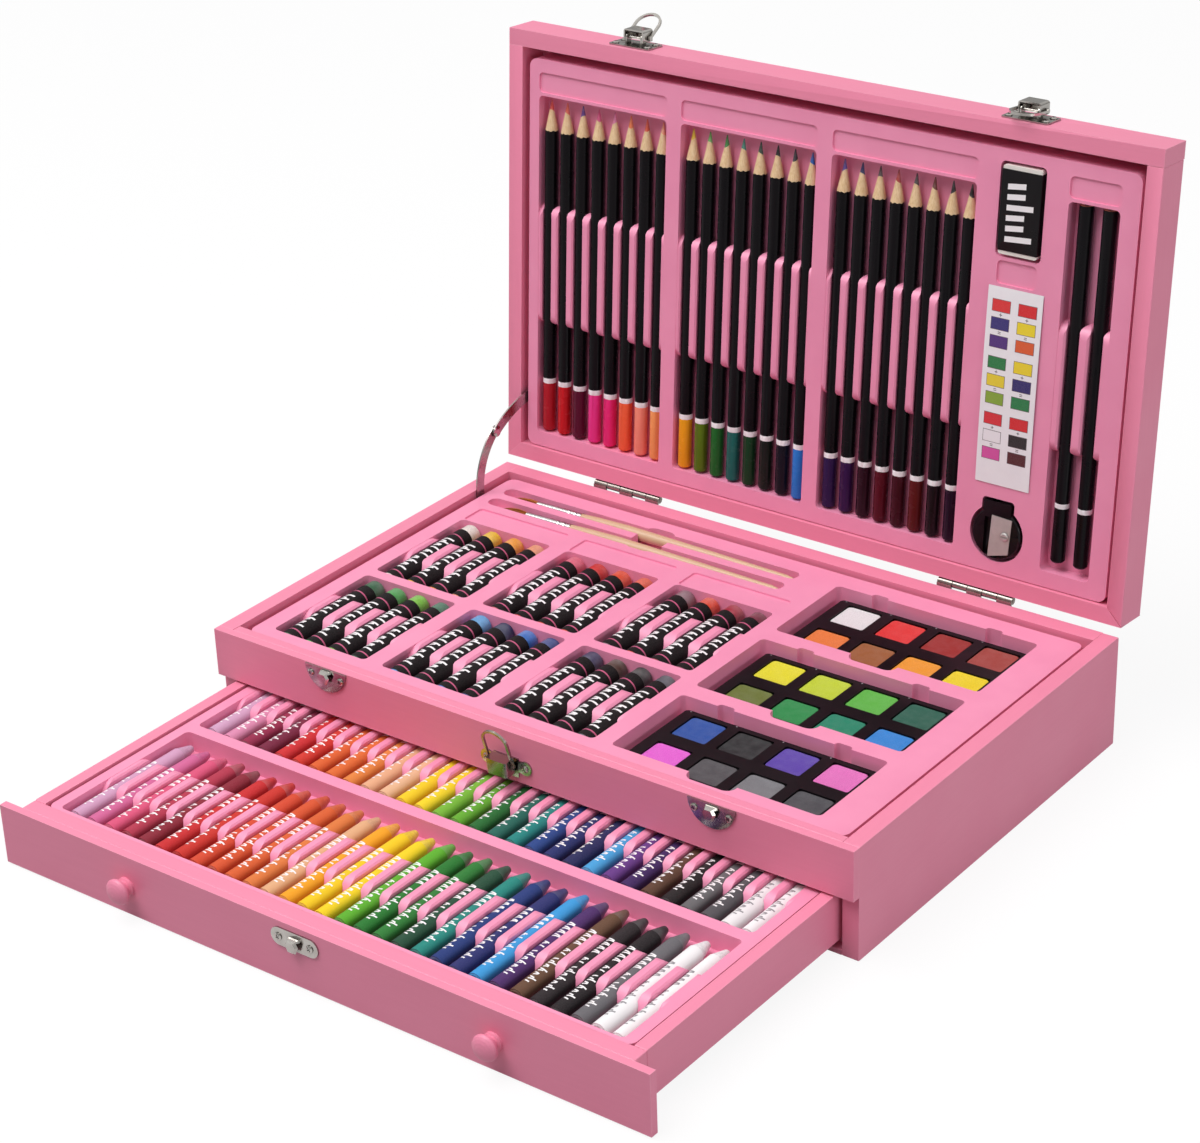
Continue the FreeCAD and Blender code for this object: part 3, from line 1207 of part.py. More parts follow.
def build():
    """Every sub-part by its name."""
    left, right = base_sides()
    rails = lid_rails()
    drawer_left, drawer_right = drawer_sides()
    core, sleeve = eraser()
    sharpener_body, blade, pin = sharpener()
    rows = crayon_rows()
    nodes = {
        "base_bottom": base_bottom(),
        "base_left_side": left,
        "base_right_side": right,
        "base_back_wall": base_back(),
        "base_front_rail": front_rail(),
        "base_inner_rail": inner_rail(),
        "base_shelf": shelf(),
        "drawer_runners": runners(),
        "base_tray": base_tray(),
        "oil_pastels": pastels(),
        "palette_frames": palettes(),
        "paint_pans": pans(),
        "brush_handles": brush_handles(),
        "brush_ferrules": brush_ferrules(),
        "brush_bristles": brush_bristles(),
        "hinge_base_leaves": base_leaves(),
        "hinge_pins": hinge_pins(),
        "base_catches": base_catches(),
        "centre_latch_plate": centre_latch_place(centre_latch_plate()),
        "base_screws": base_screws(),
        "stay_base_rivet": wall_rivet(stay_base_pivot(), LOWER_ARM_X),
        "lid_left_rail": lid_place(rails["left"]),
        "lid_right_rail": lid_place(rails["right"]),
        "lid_front_rail": lid_place(rails["front"]),
        "lid_back_rail": lid_place(rails["back"]),
        "lid_panel": lid_place(lid_panel()),
        "lid_tray": lid_place(lid_tray()),
        "colour_pencils": lid_place(colour_pencils()),
        "sketch_pencils": lid_place(sketch_pencils()),
        "eraser_core": lid_place(core),
        "eraser_sleeve": lid_place(sleeve),
        "colour_card": lid_place(colour_card()),
        "sharpener_body": lid_place(sharpener_body),
        "sharpener_blade": lid_place(blade),
        "sharpener_screw": lid_place(pin),
        "hinge_lid_leaves": lid_leaves(),
        "lid_latch_plates": Part.makeCompound([lid_latch_place(lid_latch_plate(), side) for side in (-1, 1)]),
        "lid_screws": lid_screws(),
        "stay_lid_rivet": wall_rivet(stay_lid_pivot(), UPPER_ARM_X),
        "left_latch_lever": lid_latch_place(lever(0), -1),
        "left_latch_bail": lid_latch_place(bail(BAIL_LENGTH, LEFT_BAIL_DEG, 0), -1),
        "right_latch_lever": lid_latch_place(lever(0), 1),
        "right_latch_bail": lid_latch_place(bail(BAIL_LENGTH, RIGHT_BAIL_DEG, 0), 1),
        "centre_latch_lever": centre_latch_place(lever(CENTRE_LEVER_DEG)),
        "centre_latch_bail": centre_latch_place(bail(CENTRE_BAIL_LENGTH, CENTRE_BAIL_DEG, CENTRE_LEVER_DEG)),
        "drawer_front": drawer_front(),
        "drawer_inner_front": drawer_inner_front(),
        "drawer_left_side": drawer_left,
        "drawer_right_side": drawer_right,
        "drawer_back": drawer_back(),
        "drawer_bottom": drawer_bottom(),
        "drawer_tray": drawer_tray(),
        "drawer_knobs": knobs(),
        "drawer_catch": drawer_catch(),
        "crayons_front": crayons(rows[0]),
        "crayons_back": crayons(rows[1]),
        "drawer_screws": drawer_screws(),
        "stay_lower_arm": stay_lower_arm(),
        "stay_elbow_rivet": elbow_rivet(),
        "stay_upper_arm": stay_upper_arm(),
    }
    return nodes


def main():
    """Builds every node and writes its file."""
    os.makedirs("parts", exist_ok=True)
    for name, shape in build().items():
        shape.exportStep(os.path.join("parts", name + ".step"))
        box = shape.BoundBox
        print(f"{name:22s} solids {len(shape.Solids):3d} valid {shape.isValid()} vol {shape.Volume:10.1f} "
              f"x {box.XMin:7.1f} {box.XMax:7.1f} y {box.YMin:7.1f} {box.YMax:7.1f} "
              f"z {box.ZMin:6.1f} {box.ZMax:6.1f}")


main()
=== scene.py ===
import logging
import math
import random
from collections.abc import Iterable, Sequence
from dataclasses import dataclass
from enum import Enum
from typing import Any

import bpy
from mathutils import Matrix, Vector


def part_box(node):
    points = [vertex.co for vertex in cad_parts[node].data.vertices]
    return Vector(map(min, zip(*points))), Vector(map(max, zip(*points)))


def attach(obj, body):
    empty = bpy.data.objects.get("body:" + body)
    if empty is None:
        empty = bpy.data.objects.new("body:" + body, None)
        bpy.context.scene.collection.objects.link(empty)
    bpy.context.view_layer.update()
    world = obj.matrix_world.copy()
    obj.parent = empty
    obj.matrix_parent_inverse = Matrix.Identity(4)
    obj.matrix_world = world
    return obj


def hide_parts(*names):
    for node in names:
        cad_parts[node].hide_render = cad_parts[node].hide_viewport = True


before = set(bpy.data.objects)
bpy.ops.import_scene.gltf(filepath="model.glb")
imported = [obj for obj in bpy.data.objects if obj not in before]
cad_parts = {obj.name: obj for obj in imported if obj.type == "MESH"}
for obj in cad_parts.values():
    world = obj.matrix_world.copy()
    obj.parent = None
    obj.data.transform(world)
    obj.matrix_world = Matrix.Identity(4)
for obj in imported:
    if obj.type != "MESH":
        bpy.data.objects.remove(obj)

# Dresses the artist's case and adds what its trays hold. Sizes are in millimetres unless a name
# says otherwise, and Blender's own lengths are metres. X runs along the width, +Y to the back and
# +Z up, from the centre of the face that the case stands on.

LOG = logging.getLogger("case")
MM = 0.001
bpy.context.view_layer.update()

Colour = tuple[float, float, float, float]
Socket = bpy.types.NodeSocket

# Where the case's own frames start: the base's front and rear faces, the height at which the lid
# meets the base, the hinge's axis, and the open drawer's front face.
CASE_FRONT = -116.0
CASE_REAR = 116.0
LID_RIM = 58.5
HINGE = (0.0, 118.4, 59.7)
LID_OPEN_DEG = 94.5
DRAWER_FRONT = -264.0

# Most of a noise lies between these values.
NOISE_LOW, NOISE_HIGH = 0.3, 0.7

# An edge between faces that meet at more than this many degrees is a real edge.
EDGE_DEG = 35.0

# How far apart the patterns of neighbouring loose items start, in metres.
ITEM_SHIFT = 0.05

# How many points make up a printed bar's edge and a rounded corner, and the least radius that an
# inset corner keeps.
BAR_POINTS = 5
CORNER_POINTS = 6
LEAST_CORNER = 0.15


def linear(code: str) -> Colour:
    """Turns an sRGB hex colour into linear values.

    Args:
        code: Six hex digits after a hash sign.

    Returns:
        Linear red, green and blue, and an alpha of 1.
    """
    channels = [int(code[i:i + 2], 16) / 255 for i in (1, 3, 5)]
    curve = [c / 12.92 if c <= 0.04045 else ((c + 0.055) / 1.055) ** 2.4 for c in channels]
    return curve[0], curve[1], curve[2], 1.0


def per_metre(size: float) -> float:
    """How many repeats of a pattern of this size, in millimetres, fit in a metre."""
    return 1.0 / (size * MM)


def at(x: float, y: float, z: float) -> Matrix:
    """A move by these millimetres."""
    return Matrix.Translation(Vector((x, y, z)) * MM)


def lid_frame() -> Matrix:
    """Works out the open lid's own frame.

    Returns:
        The frame: X runs across, Y from the hinge edge to the front edge, and Z out of the rim.
    """
    hinge = Vector(HINGE) * MM
    swing = Matrix.Rotation(math.radians(-LID_OPEN_DEG), 4, "X")
    closed = at(0, CASE_REAR, LID_RIM) @ Matrix.Rotation(math.pi, 4, "X")
    return Matrix.Translation(hinge) @ swing @ Matrix.Translation(-hinge) @ closed


class Body(Enum):
    """The moving bodies that pieces ride on."""

    BASE = "base"
    LID = "lid"
    DRAWER = "drawer"


class Axis(Enum):
    """The way that a board's grain runs."""

    X = 0
    Y = 1
    Z = 2


# Finishes


class Nodes:
    """A node tree that is filled by one small function."""

    def __init__(self, tree: bpy.types.NodeTree) -> None:
        """Keeps the tree."""
        self.tree = tree

    def feed(self, node: bpy.types.Node, inputs: dict[Any, Any]) -> None:
        """Sets or links a node's inputs.

        Args:
            node: The node.
            inputs: A value or a socket for each input, by its name or place.
        """
        for key, value in inputs.items():
            if isinstance(value, Socket):
                self.tree.links.new(value, node.inputs[key])
            else:
                node.inputs[key].default_value = value

    def add(self, kind: str, inputs: dict[Any, Any] | None = None, out: str | int = 0,
            **settings: Any) -> Socket:
        """Adds a node with its settings and links.

        Args:
            kind: The node's type without its ShaderNode prefix.
            inputs: A value or a socket for each input, by its name or place.
            out: The output to return.
            **settings: The node's own properties.

        Returns:
            The chosen output.
        """
        node = self.tree.nodes.new("ShaderNode" + kind)
        for key, value in settings.items():
            setattr(node, key, value)
        self.feed(node, inputs or {})
        return node.outputs[out]


class Shading(Nodes):
    """The node tree of one material, which ends in a Principled shader."""

    def __init__(self, name: str, **sockets: Any) -> None:
        """Makes the material and sets what is the same all over it.

        Args:
            name: The material's name.
            **sockets: Values for the shader, with underscores for spaces in their names.
        """
        self.material = bpy.data.materials.new(name)
        self.material.use_nodes = True
        super().__init__(self.material.node_tree)
        self.shader = self.tree.nodes["Principled BSDF"]
        self.feed(self.shader, {key.replace("_", " "): value for key, value in sockets.items()})

    def pattern(self, size: float, detail: float = 2.0, rough: float = 0.5,
                stretch: Sequence[float] = (1, 1, 1), loose: bool = False) -> Socket:
        """Draws cloudy noise that stays on the piece when it moves.

        Args:
            size: How many millimetres its blobs are across.
            detail: How many finer layers lie on the coarsest one.
            rough: How strong the finer layers are.
            stretch: How much finer the pattern is along X, Y and Z.
            loose: True where it follows each loose item's own frame, False for the piece's.

        Returns:
            The noise, mostly between NOISE_LOW and NOISE_HIGH.
        """
        if loose:
            source = self.add("Attribute", attribute_name="local", out="Vector")
        else:
            source = self.add("TexCoord", out="Object")
        where = self.add("Mapping", {"Vector": source, "Scale": stretch})
        return self.add("TexNoise", {"Vector": where, "Scale": per_metre(size), "Detail": detail,
                                     "Roughness": rough})

    def own(self, code: str | None) -> Socket | Colour:
        """Finds a finish's colour.

        Args:
            code: A fixed colour, or None for the colour of the loose item that a point is on.

        Returns:
            The colour.
        """
        if code:
            return linear(code)
        return self.add("Attribute", attribute_name="tint", out="Color")

    def stain(self, base: Socket | Colour, second: Socket | Colour, pattern: Socket,
              most: float) -> Socket:
        """Lets a second colour show where a pattern is high.

        Args:
            base: The first colour.
            second: The second colour.
            pattern: The noise that it follows.
            most: How much of the second colour shows at the most, from 0 to 1.

        Returns:
            The mixed colour.
        """
        share = self.add("MapRange", {"Value": pattern, 1: NOISE_LOW, 2: NOISE_HIGH, 3: 0.0,
                                      4: most})
        return self.add("Mix", {0: share, 6: base, 7: second}, 2, data_type="RGBA")

    def surface(self, base: Socket | Colour, *bumps: tuple[Socket, float],
                rubbed: Socket | None = None, roughness: tuple[float, float] = (0.5, 0.5)) -> None:
        """Links the colour, the roughness and the bumps to the shader.

        Args:
            base: The base colour.
            *bumps: A height and its depth in millimetres, for each layer of relief.
            rubbed: The pattern that the roughness follows, or None if it is the same all over.
            roughness: The least and the most roughness.
        """
        self.feed(self.shader, {"Base Color": base})
        if rubbed is not None:
            low, high = roughness
            varied = self.add("MapRange", {"Value": rubbed, 1: NOISE_LOW, 2: NOISE_HIGH, 3: low,
                                           4: high})
            self.feed(self.shader, {"Roughness": varied})
        normal: Socket | None = None
        for height, depth in bumps:
            inputs: dict[str, Any] = {"Height": height, "Distance": depth * MM, "Strength": 1.0}
            if normal is not None:
                inputs["Normal"] = normal
            normal = self.add("Bump", inputs)
        self.feed(self.shader, {"Normal": normal})


@dataclass(frozen=True)
class PaintedBoard:
    """Satin paint sprayed on fine-grained board.

    It looks smooth from afar. Near by, the grain shows through as faint lines, the spray leaves
    a fine orange peel, and the rubbed edges are a little paler. The grain and the peel are drawn
    about twice as coarse as they are, or they would not show.

    Attributes:
        colour: The paint.
        patchy: The paint where its coat is thicker, and how much of it shows.
        fibre: The paint in the grain's furrows, and how much of it shows.
        rubbed: The paint on rubbed edges, and how much of it shows.
        roughness: The least and the most roughness.
        grain: The width and depth of a furrow.
        run: How much longer than wide a furrow is.
        peel: The width and depth of a dimple.
        patch: The width of a patch.
        edge: The width of a rubbed edge.
    """

    colour: str = "#EE8CA9"
    patchy: tuple[str, float] = ("#DA7593", 0.10)
    fibre: tuple[str, float] = ("#C9637F", 0.07)
    rubbed: tuple[str, float] = ("#F9B4C8", 0.4)
    roughness: tuple[float, float] = (0.36, 0.47)
    grain: tuple[float, float] = (1.4, 0.05)
    run: float = 0.05
    peel: tuple[float, float] = (0.7, 0.03)
    patch: float = 45.0
    edge: float = 0.7

    def material(self, along: Axis) -> bpy.types.Material:
        """Makes the finish for boards whose grain runs along one axis.

        Args:
            along: The way the grain runs.

        Returns:
            The material.
        """
        made = Shading(f"satin_paint_on_board_{along.name.lower()}")
        stretch = [1.0, 1.0, 1.0]
        stretch[along.value] = self.run
        lines = made.pattern(self.grain[0], 4.0, 0.6, stretch)
        peel = made.pattern(self.peel[0], 1.0)
        patch = made.pattern(self.patch, 3.0)
        base = made.stain(linear(self.colour), linear(self.patchy[0]), patch, self.patchy[1])
        base = made.stain(base, linear(self.fibre[0]), lines, self.fibre[1])
        # Where the rounded normal leaves the flat one, the point is near an edge.
        rounded = made.add("Bevel", {"Radius": self.edge * MM}, samples=4)
        flat = made.add("NewGeometry", out="Normal")
        same = made.add("VectorMath", {0: rounded, 1: flat}, "Value", operation="DOT_PRODUCT")
        edge = made.add("MapRange", {"Value": same, 1: 0.995, 2: 0.88, 3: 0.0, 4: self.rubbed[1]})
        base = made.add("Mix", {0: edge, 6: base, 7: linear(self.rubbed[0])}, 2, data_type="RGBA")
        made.surface(base, (lines, self.grain[1]), (peel, self.peel[1]), rubbed=patch,
                     roughness=self.roughness)
        return made.material


@dataclass(frozen=True)
class FormedTray:
    """Coloured polystyrene sheet, drawn down over a mould.

    The sheet is matt with a soft sheen, and is never quite flat, so its reflections are wavy.

    Attributes:
        colour: The sheet.
        deep: The sheet where it was stretched less, and how much of it shows.
        roughness: The least and the most roughness.
        texture: The width and depth of the mould's sand-blasted grit, drawn coarse enough to show.
        wave: The width and depth of a wave of the sheet.
    """

    colour: str = "#F297B8"
    deep: tuple[str, float] = ("#E583A8", 0.3)
    roughness: tuple[float, float] = (0.38, 0.5)
    texture: tuple[float, float] = (0.55, 0.012)
    wave: tuple[float, float] = (22.0, 0.25)

    def material(self) -> bpy.types.Material:
        """Makes the finish.

        Returns:
            The material.
        """
        made = Shading("vacuum_formed_polystyrene", IOR=1.59)
        grit = made.pattern(self.texture[0], 2.0, 0.6)
        wave = made.pattern(self.wave[0], 2.0)
        base = made.stain(linear(self.colour), linear(self.deep[0]), wave, self.deep[1])
        made.surface(base, (wave, self.wave[1]), (grit, self.texture[1]), rubbed=grit,
                     roughness=self.roughness)
        return made.material


@dataclass(frozen=True)
class MouldedPlastic:
    """Injection-moulded plastic, with the fine spark-eroded texture of its mould.

    It has a low even sheen, which handling and dust break up into duller patches. Its specular
    level is low because the texture scatters most of what the surface reflects.

    Attributes:
        name: The material's name.
        colour: The plastic.
        worn: The plastic where it is dusty or worn.
        roughness: The least and the most roughness.
        texture: The width of the texture's grains.
        depth: The depth of the texture.
        dust: The width of a dusty patch.
        dusty: How much of the worn colour shows at the most.
    """

    name: str
    colour: str
    worn: str
    roughness: tuple[float, float]
    texture: float = 0.4
    depth: float = 0.012
    dust: float = 9.0
    dusty: float = 0.35

    def material(self) -> bpy.types.Material:
        """Makes the finish.

        Returns:
            The material.
        """
        made = Shading(self.name, IOR=1.53, Specular_IOR_Level=0.2)
        grit = made.pattern(self.texture, 3.0, 0.6)
        dust = made.pattern(self.dust, 4.0, 0.65)
        base = made.stain(linear(self.colour), linear(self.worn), dust, self.dusty)
        made.surface(base, (grit, self.depth), rubbed=dust, roughness=self.roughness)
        return made.material


@dataclass(frozen=True)
class Nickel:
    """Nickel plate on stamped or ground steel.

    It mirrors the room softly. Stamping leaves shallow waves, and handling fine scratches. The
    narrow gaps under levers and round screws get painted shade: ambient occlusion darkens them
    nearly black.

    Attributes:
        name: The material's name.
        colour: The plate.
        roughness: The least and the most roughness.
        wave: The width of a wave.
        depth: The depth of a wave.
        metallic: 1 for clean metal, less where a ground face scatters light like a pale solid.
        smear: The plate under finger grease, how much of it shows, and the width of a smear.
        nook: The colour of the painted shade in narrow gaps, and how wide a gap still counts.
        scratch: The width, the stretch and the depth of a scratch.
    """

    name: str
    colour: str = "#D3CFC9"
    roughness: tuple[float, float] = (0.1, 0.22)
    wave: float = 2.6
    depth: float = 0.035
    metallic: float = 1.0
    smear: tuple[str, float, float] = ("#AFA8A1", 0.5, 6.0)
    nook: tuple[str, float] = ("#2B2725", 2.5)
    scratch: tuple[float, float, float] = (0.5, 0.08, 0.006)

    def material(self) -> bpy.types.Material:
        """Makes the finish.

        Returns:
            The material.
        """
        made = Shading(self.name, Metallic=self.metallic)
        wave = made.pattern(self.wave, 2.0)
        width, run, depth = self.scratch
        scratch = made.pattern(width, 3.0, 0.7, (1.0, run, 1.0))
        greasy, share, size = self.smear
        smear = made.pattern(size, 3.0)
        base = made.stain(linear(self.colour), linear(greasy), smear, share)
        # Painted shade: where ambient occlusion finds a narrow gap, the plate's colour turns nearly
        # black.
        shade_colour, gap = self.nook
        open_sky = made.add("AmbientOcclusion", {"Distance": gap * MM}, "AO", samples=8)
        base = made.add("Mix", {0: open_sky, 6: linear(shade_colour), 7: base}, 2, data_type="RGBA")
        made.surface(base, (wave, self.depth), (scratch, depth), rubbed=smear,
                     roughness=self.roughness)
        return made.material


@dataclass(frozen=True)
class Lacquer:
    """Several coats of nitrocellulose lacquer on a pencil.

    It is smooth, with a soft long highlight and a trace of finger grease.

    Attributes:
        name: The material's name.
        colour: The lacquer, or None for the item's own colour.
        roughness: The least and the most roughness.
        coat: The width and depth of the lines that dipping leaves, wider than real ones.
        smudge: The grease, how much of it shows, and the width of a smudge.
    """

    name: str
    colour: str | None
    roughness: tuple[float, float] = (0.24, 0.36)
    coat: tuple[float, float] = (1.2, 0.008)
    smudge: tuple[str, float, float] = ("#5A4650", 0.012, 7.0)

    def material(self) -> bpy.types.Material:
        """Makes the finish, in its own colour or in the item's.

        Returns:
            The material.
        """
        made = Shading(self.name, IOR=1.5, Specular_IOR_Level=0.15)
        coat = made.pattern(self.coat[0], 2.0, stretch=(1.0, 0.12, 1.0), loose=True)
        grease, share, size = self.smudge
        smudge = made.pattern(size, 3.0, loose=True)
        base = made.stain(made.own(self.colour), linear(grease), smudge, share)
        made.surface(base, (coat, self.coat[1]), rubbed=smudge, roughness=self.roughness)
        return made.material


@dataclass(frozen=True)
class CutWood:
    """Pale wood cut or turned across a fine grain, which shows as darker fibres.

    Attributes:
        name: The material's name.
        colour: The wood.
        fibre: The darker fibres.
        roughness: The roughness.
        width: The width of a fibre, several times a real one's so that it shows.
        depth: The depth between fibres.
        fleck: The paler flecks, how much of them shows, and their width.
    """

    name: str
    colour: str = "#EBCFA4"
    fibre: str = "#C99F6B"
    roughness: float = 0.55
    width: float = 0.5
    depth: float = 0.04
    fleck: tuple[str, float, float] = ("#F6E3C4", 0.2, 2.5)

    def material(self) -> bpy.types.Material:
        """Makes the finish.

        Returns:
            The material.
        """
        made = Shading(self.name, Roughness=self.roughness)
        fibre = made.pattern(self.width, 4.0, 0.6, (1.0, 0.07, 1.0), loose=True)
        pale, share, size = self.fleck
        fleck = made.pattern(size, 2.0, loose=True)
        base = made.stain(linear(self.colour), linear(self.fibre), fibre, 0.8)
        base = made.stain(base, linear(pale), fleck, share)
        made.surface(base, (fibre, self.depth))
        return made.material


@dataclass(frozen=True)
class Pigment:
    """Wax, chalk or pressed powder in the item's own colour.

    Wax has a dull sheen with rubbed patches. Pressed powder is dry, grainy and without shine.

    Attributes:
        name: The material's name.
        roughness: The roughness.
        grain: The width of a grain.
        depth: The depth between grains.
        bloom: How much of the pale colour shows in rubbed patches.
        pale: The rubbed patches.
        shade: What darkens the colour between grains.
    """

    name: str
    roughness: float
    grain: float
    depth: float
    bloom: float
    pale: str = "#FFFFFF"
    shade: str = "#B9B0B4"

    def material(self) -> bpy.types.Material:
        """Makes the finish.

        Returns:
            The material.
        """
        made = Shading(self.name, Roughness=self.roughness)
        grain = made.pattern(self.grain, 4.0, 0.65, loose=True)
        cloud = made.pattern(self.grain * 9.0, 3.0, loose=True)
        tint = made.own(None)
        dark = made.add("Mix", {0: 1.0, 6: tint, 7: linear(self.shade)}, 2, data_type="RGBA",
                        blend_type="MULTIPLY")
        base = made.stain(tint, dark, grain, 0.5)
        base = made.stain(base, linear(self.pale), cloud, self.bloom)
        made.surface(base, (grain, self.depth))
        return made.material


@dataclass(frozen=True)
class WrapPaper:
    """Uncoated paper glued round a stick: matt, with fibres and a slight crinkle.

    Attributes:
        name: The material's name.
        colour: The paper, or None for the item's own colour.
        wash: How much of the dull colour lies over the whole paper.
        dull: The colour that it is dulled with.
        fibre: The fibres' colour, how much of it shows, their width and their depth.
        crinkle: The width and depth of a crinkle.
    """

    name: str
    colour: str | None
    wash: float = 0.02
    dull: str = "#B79AA0"
    fibre: tuple[str, float, float, float] = ("#F4E9E6", 0.02, 0.5, 0.015)
    crinkle: tuple[float, float] = (4.0, 0.10)

    def material(self) -> bpy.types.Material:
        """Makes the finish, in its own colour or a duller one of the item's.

        Returns:
            The material.
        """
        made = Shading(self.name, Roughness=0.62, Specular_IOR_Level=0.15)
        pale, share, width, depth = self.fibre
        fibre = made.pattern(width, 4.0, 0.7, (1.0, 0.5, 1.0), loose=True)
        crinkle = made.pattern(self.crinkle[0], 2.0, stretch=(1.0, 0.3, 1.0), loose=True)
        base = made.add("Mix", {0: self.wash, 6: made.own(self.colour), 7: linear(self.dull)}, 2,
                        data_type="RGBA")
        base = made.stain(base, linear(pale), fibre, share)
        made.surface(base, (crinkle, self.crinkle[1]), (fibre, depth))
        return made.material


@dataclass(frozen=True)
class Ink:
    """Printing ink on paper or card: an even colour with the paper's tooth in it.

    Attributes:
        name: The material's name.
        roughness: The roughness.
        tooth: The paper's colour, how much of it shows, and the tooth's width and depth. The
            width is several times a real one's, so that it shows.
    """

    name: str
    roughness: float = 0.45
    tooth: tuple[str, float, float, float] = ("#E8DDE0", 0.06, 0.45, 0.01)

    def material(self) -> bpy.types.Material:
        """Makes the finish.

        Returns:
            The material.
        """
        made = Shading(self.name, Roughness=self.roughness)
        pale, share, width, depth = self.tooth
        tooth = made.pattern(width, 3.0, 0.7, loose=True)
        made.surface(made.stain(made.own(None), linear(pale), tooth, share), (tooth, depth))
        return made.material


@dataclass(frozen=True)
class Hair:
    """Dyed nylon hairs: each has a shiny side, and some are darker.

    Attributes:
        name: The material's name.
        dark: The darker streaks, how much of them shows, their width and their depth.
    """

    name: str = "nylon_hair"
    dark: tuple[str, float, float, float] = ("#8A4A1E", 0.8, 0.4, 0.05)

    def material(self) -> bpy.types.Material:
        """Makes the finish.

        Returns:
            The material.
        """
        made = Shading(self.name, Roughness=0.38, IOR=1.53)
        brown, share, width, depth = self.dark
        streak = made.pattern(width, 3.0, stretch=(1.0, 0.05, 1.0), loose=True)
        made.surface(made.stain(made.own(None), linear(brown), streak, share), (streak, depth))
        return made.material


# Mesh making


@dataclass(frozen=True)
class Ring:
    """One ring of a turned stick.

    Attributes:
        along: Distance from the stick's start.
        radius: Radius there, or 0 for a closed end.
        slot: The finish from this ring to the next.
        ragged: How far the ring wanders along the stick.
        slant: How far the ring leans along the stick.
        core: True where the ring has the core's colour.
    """

    along: float
    radius: float
    slot: int = 0
    ragged: float = 0.0
    slant: float = 0.0
    core: bool = False


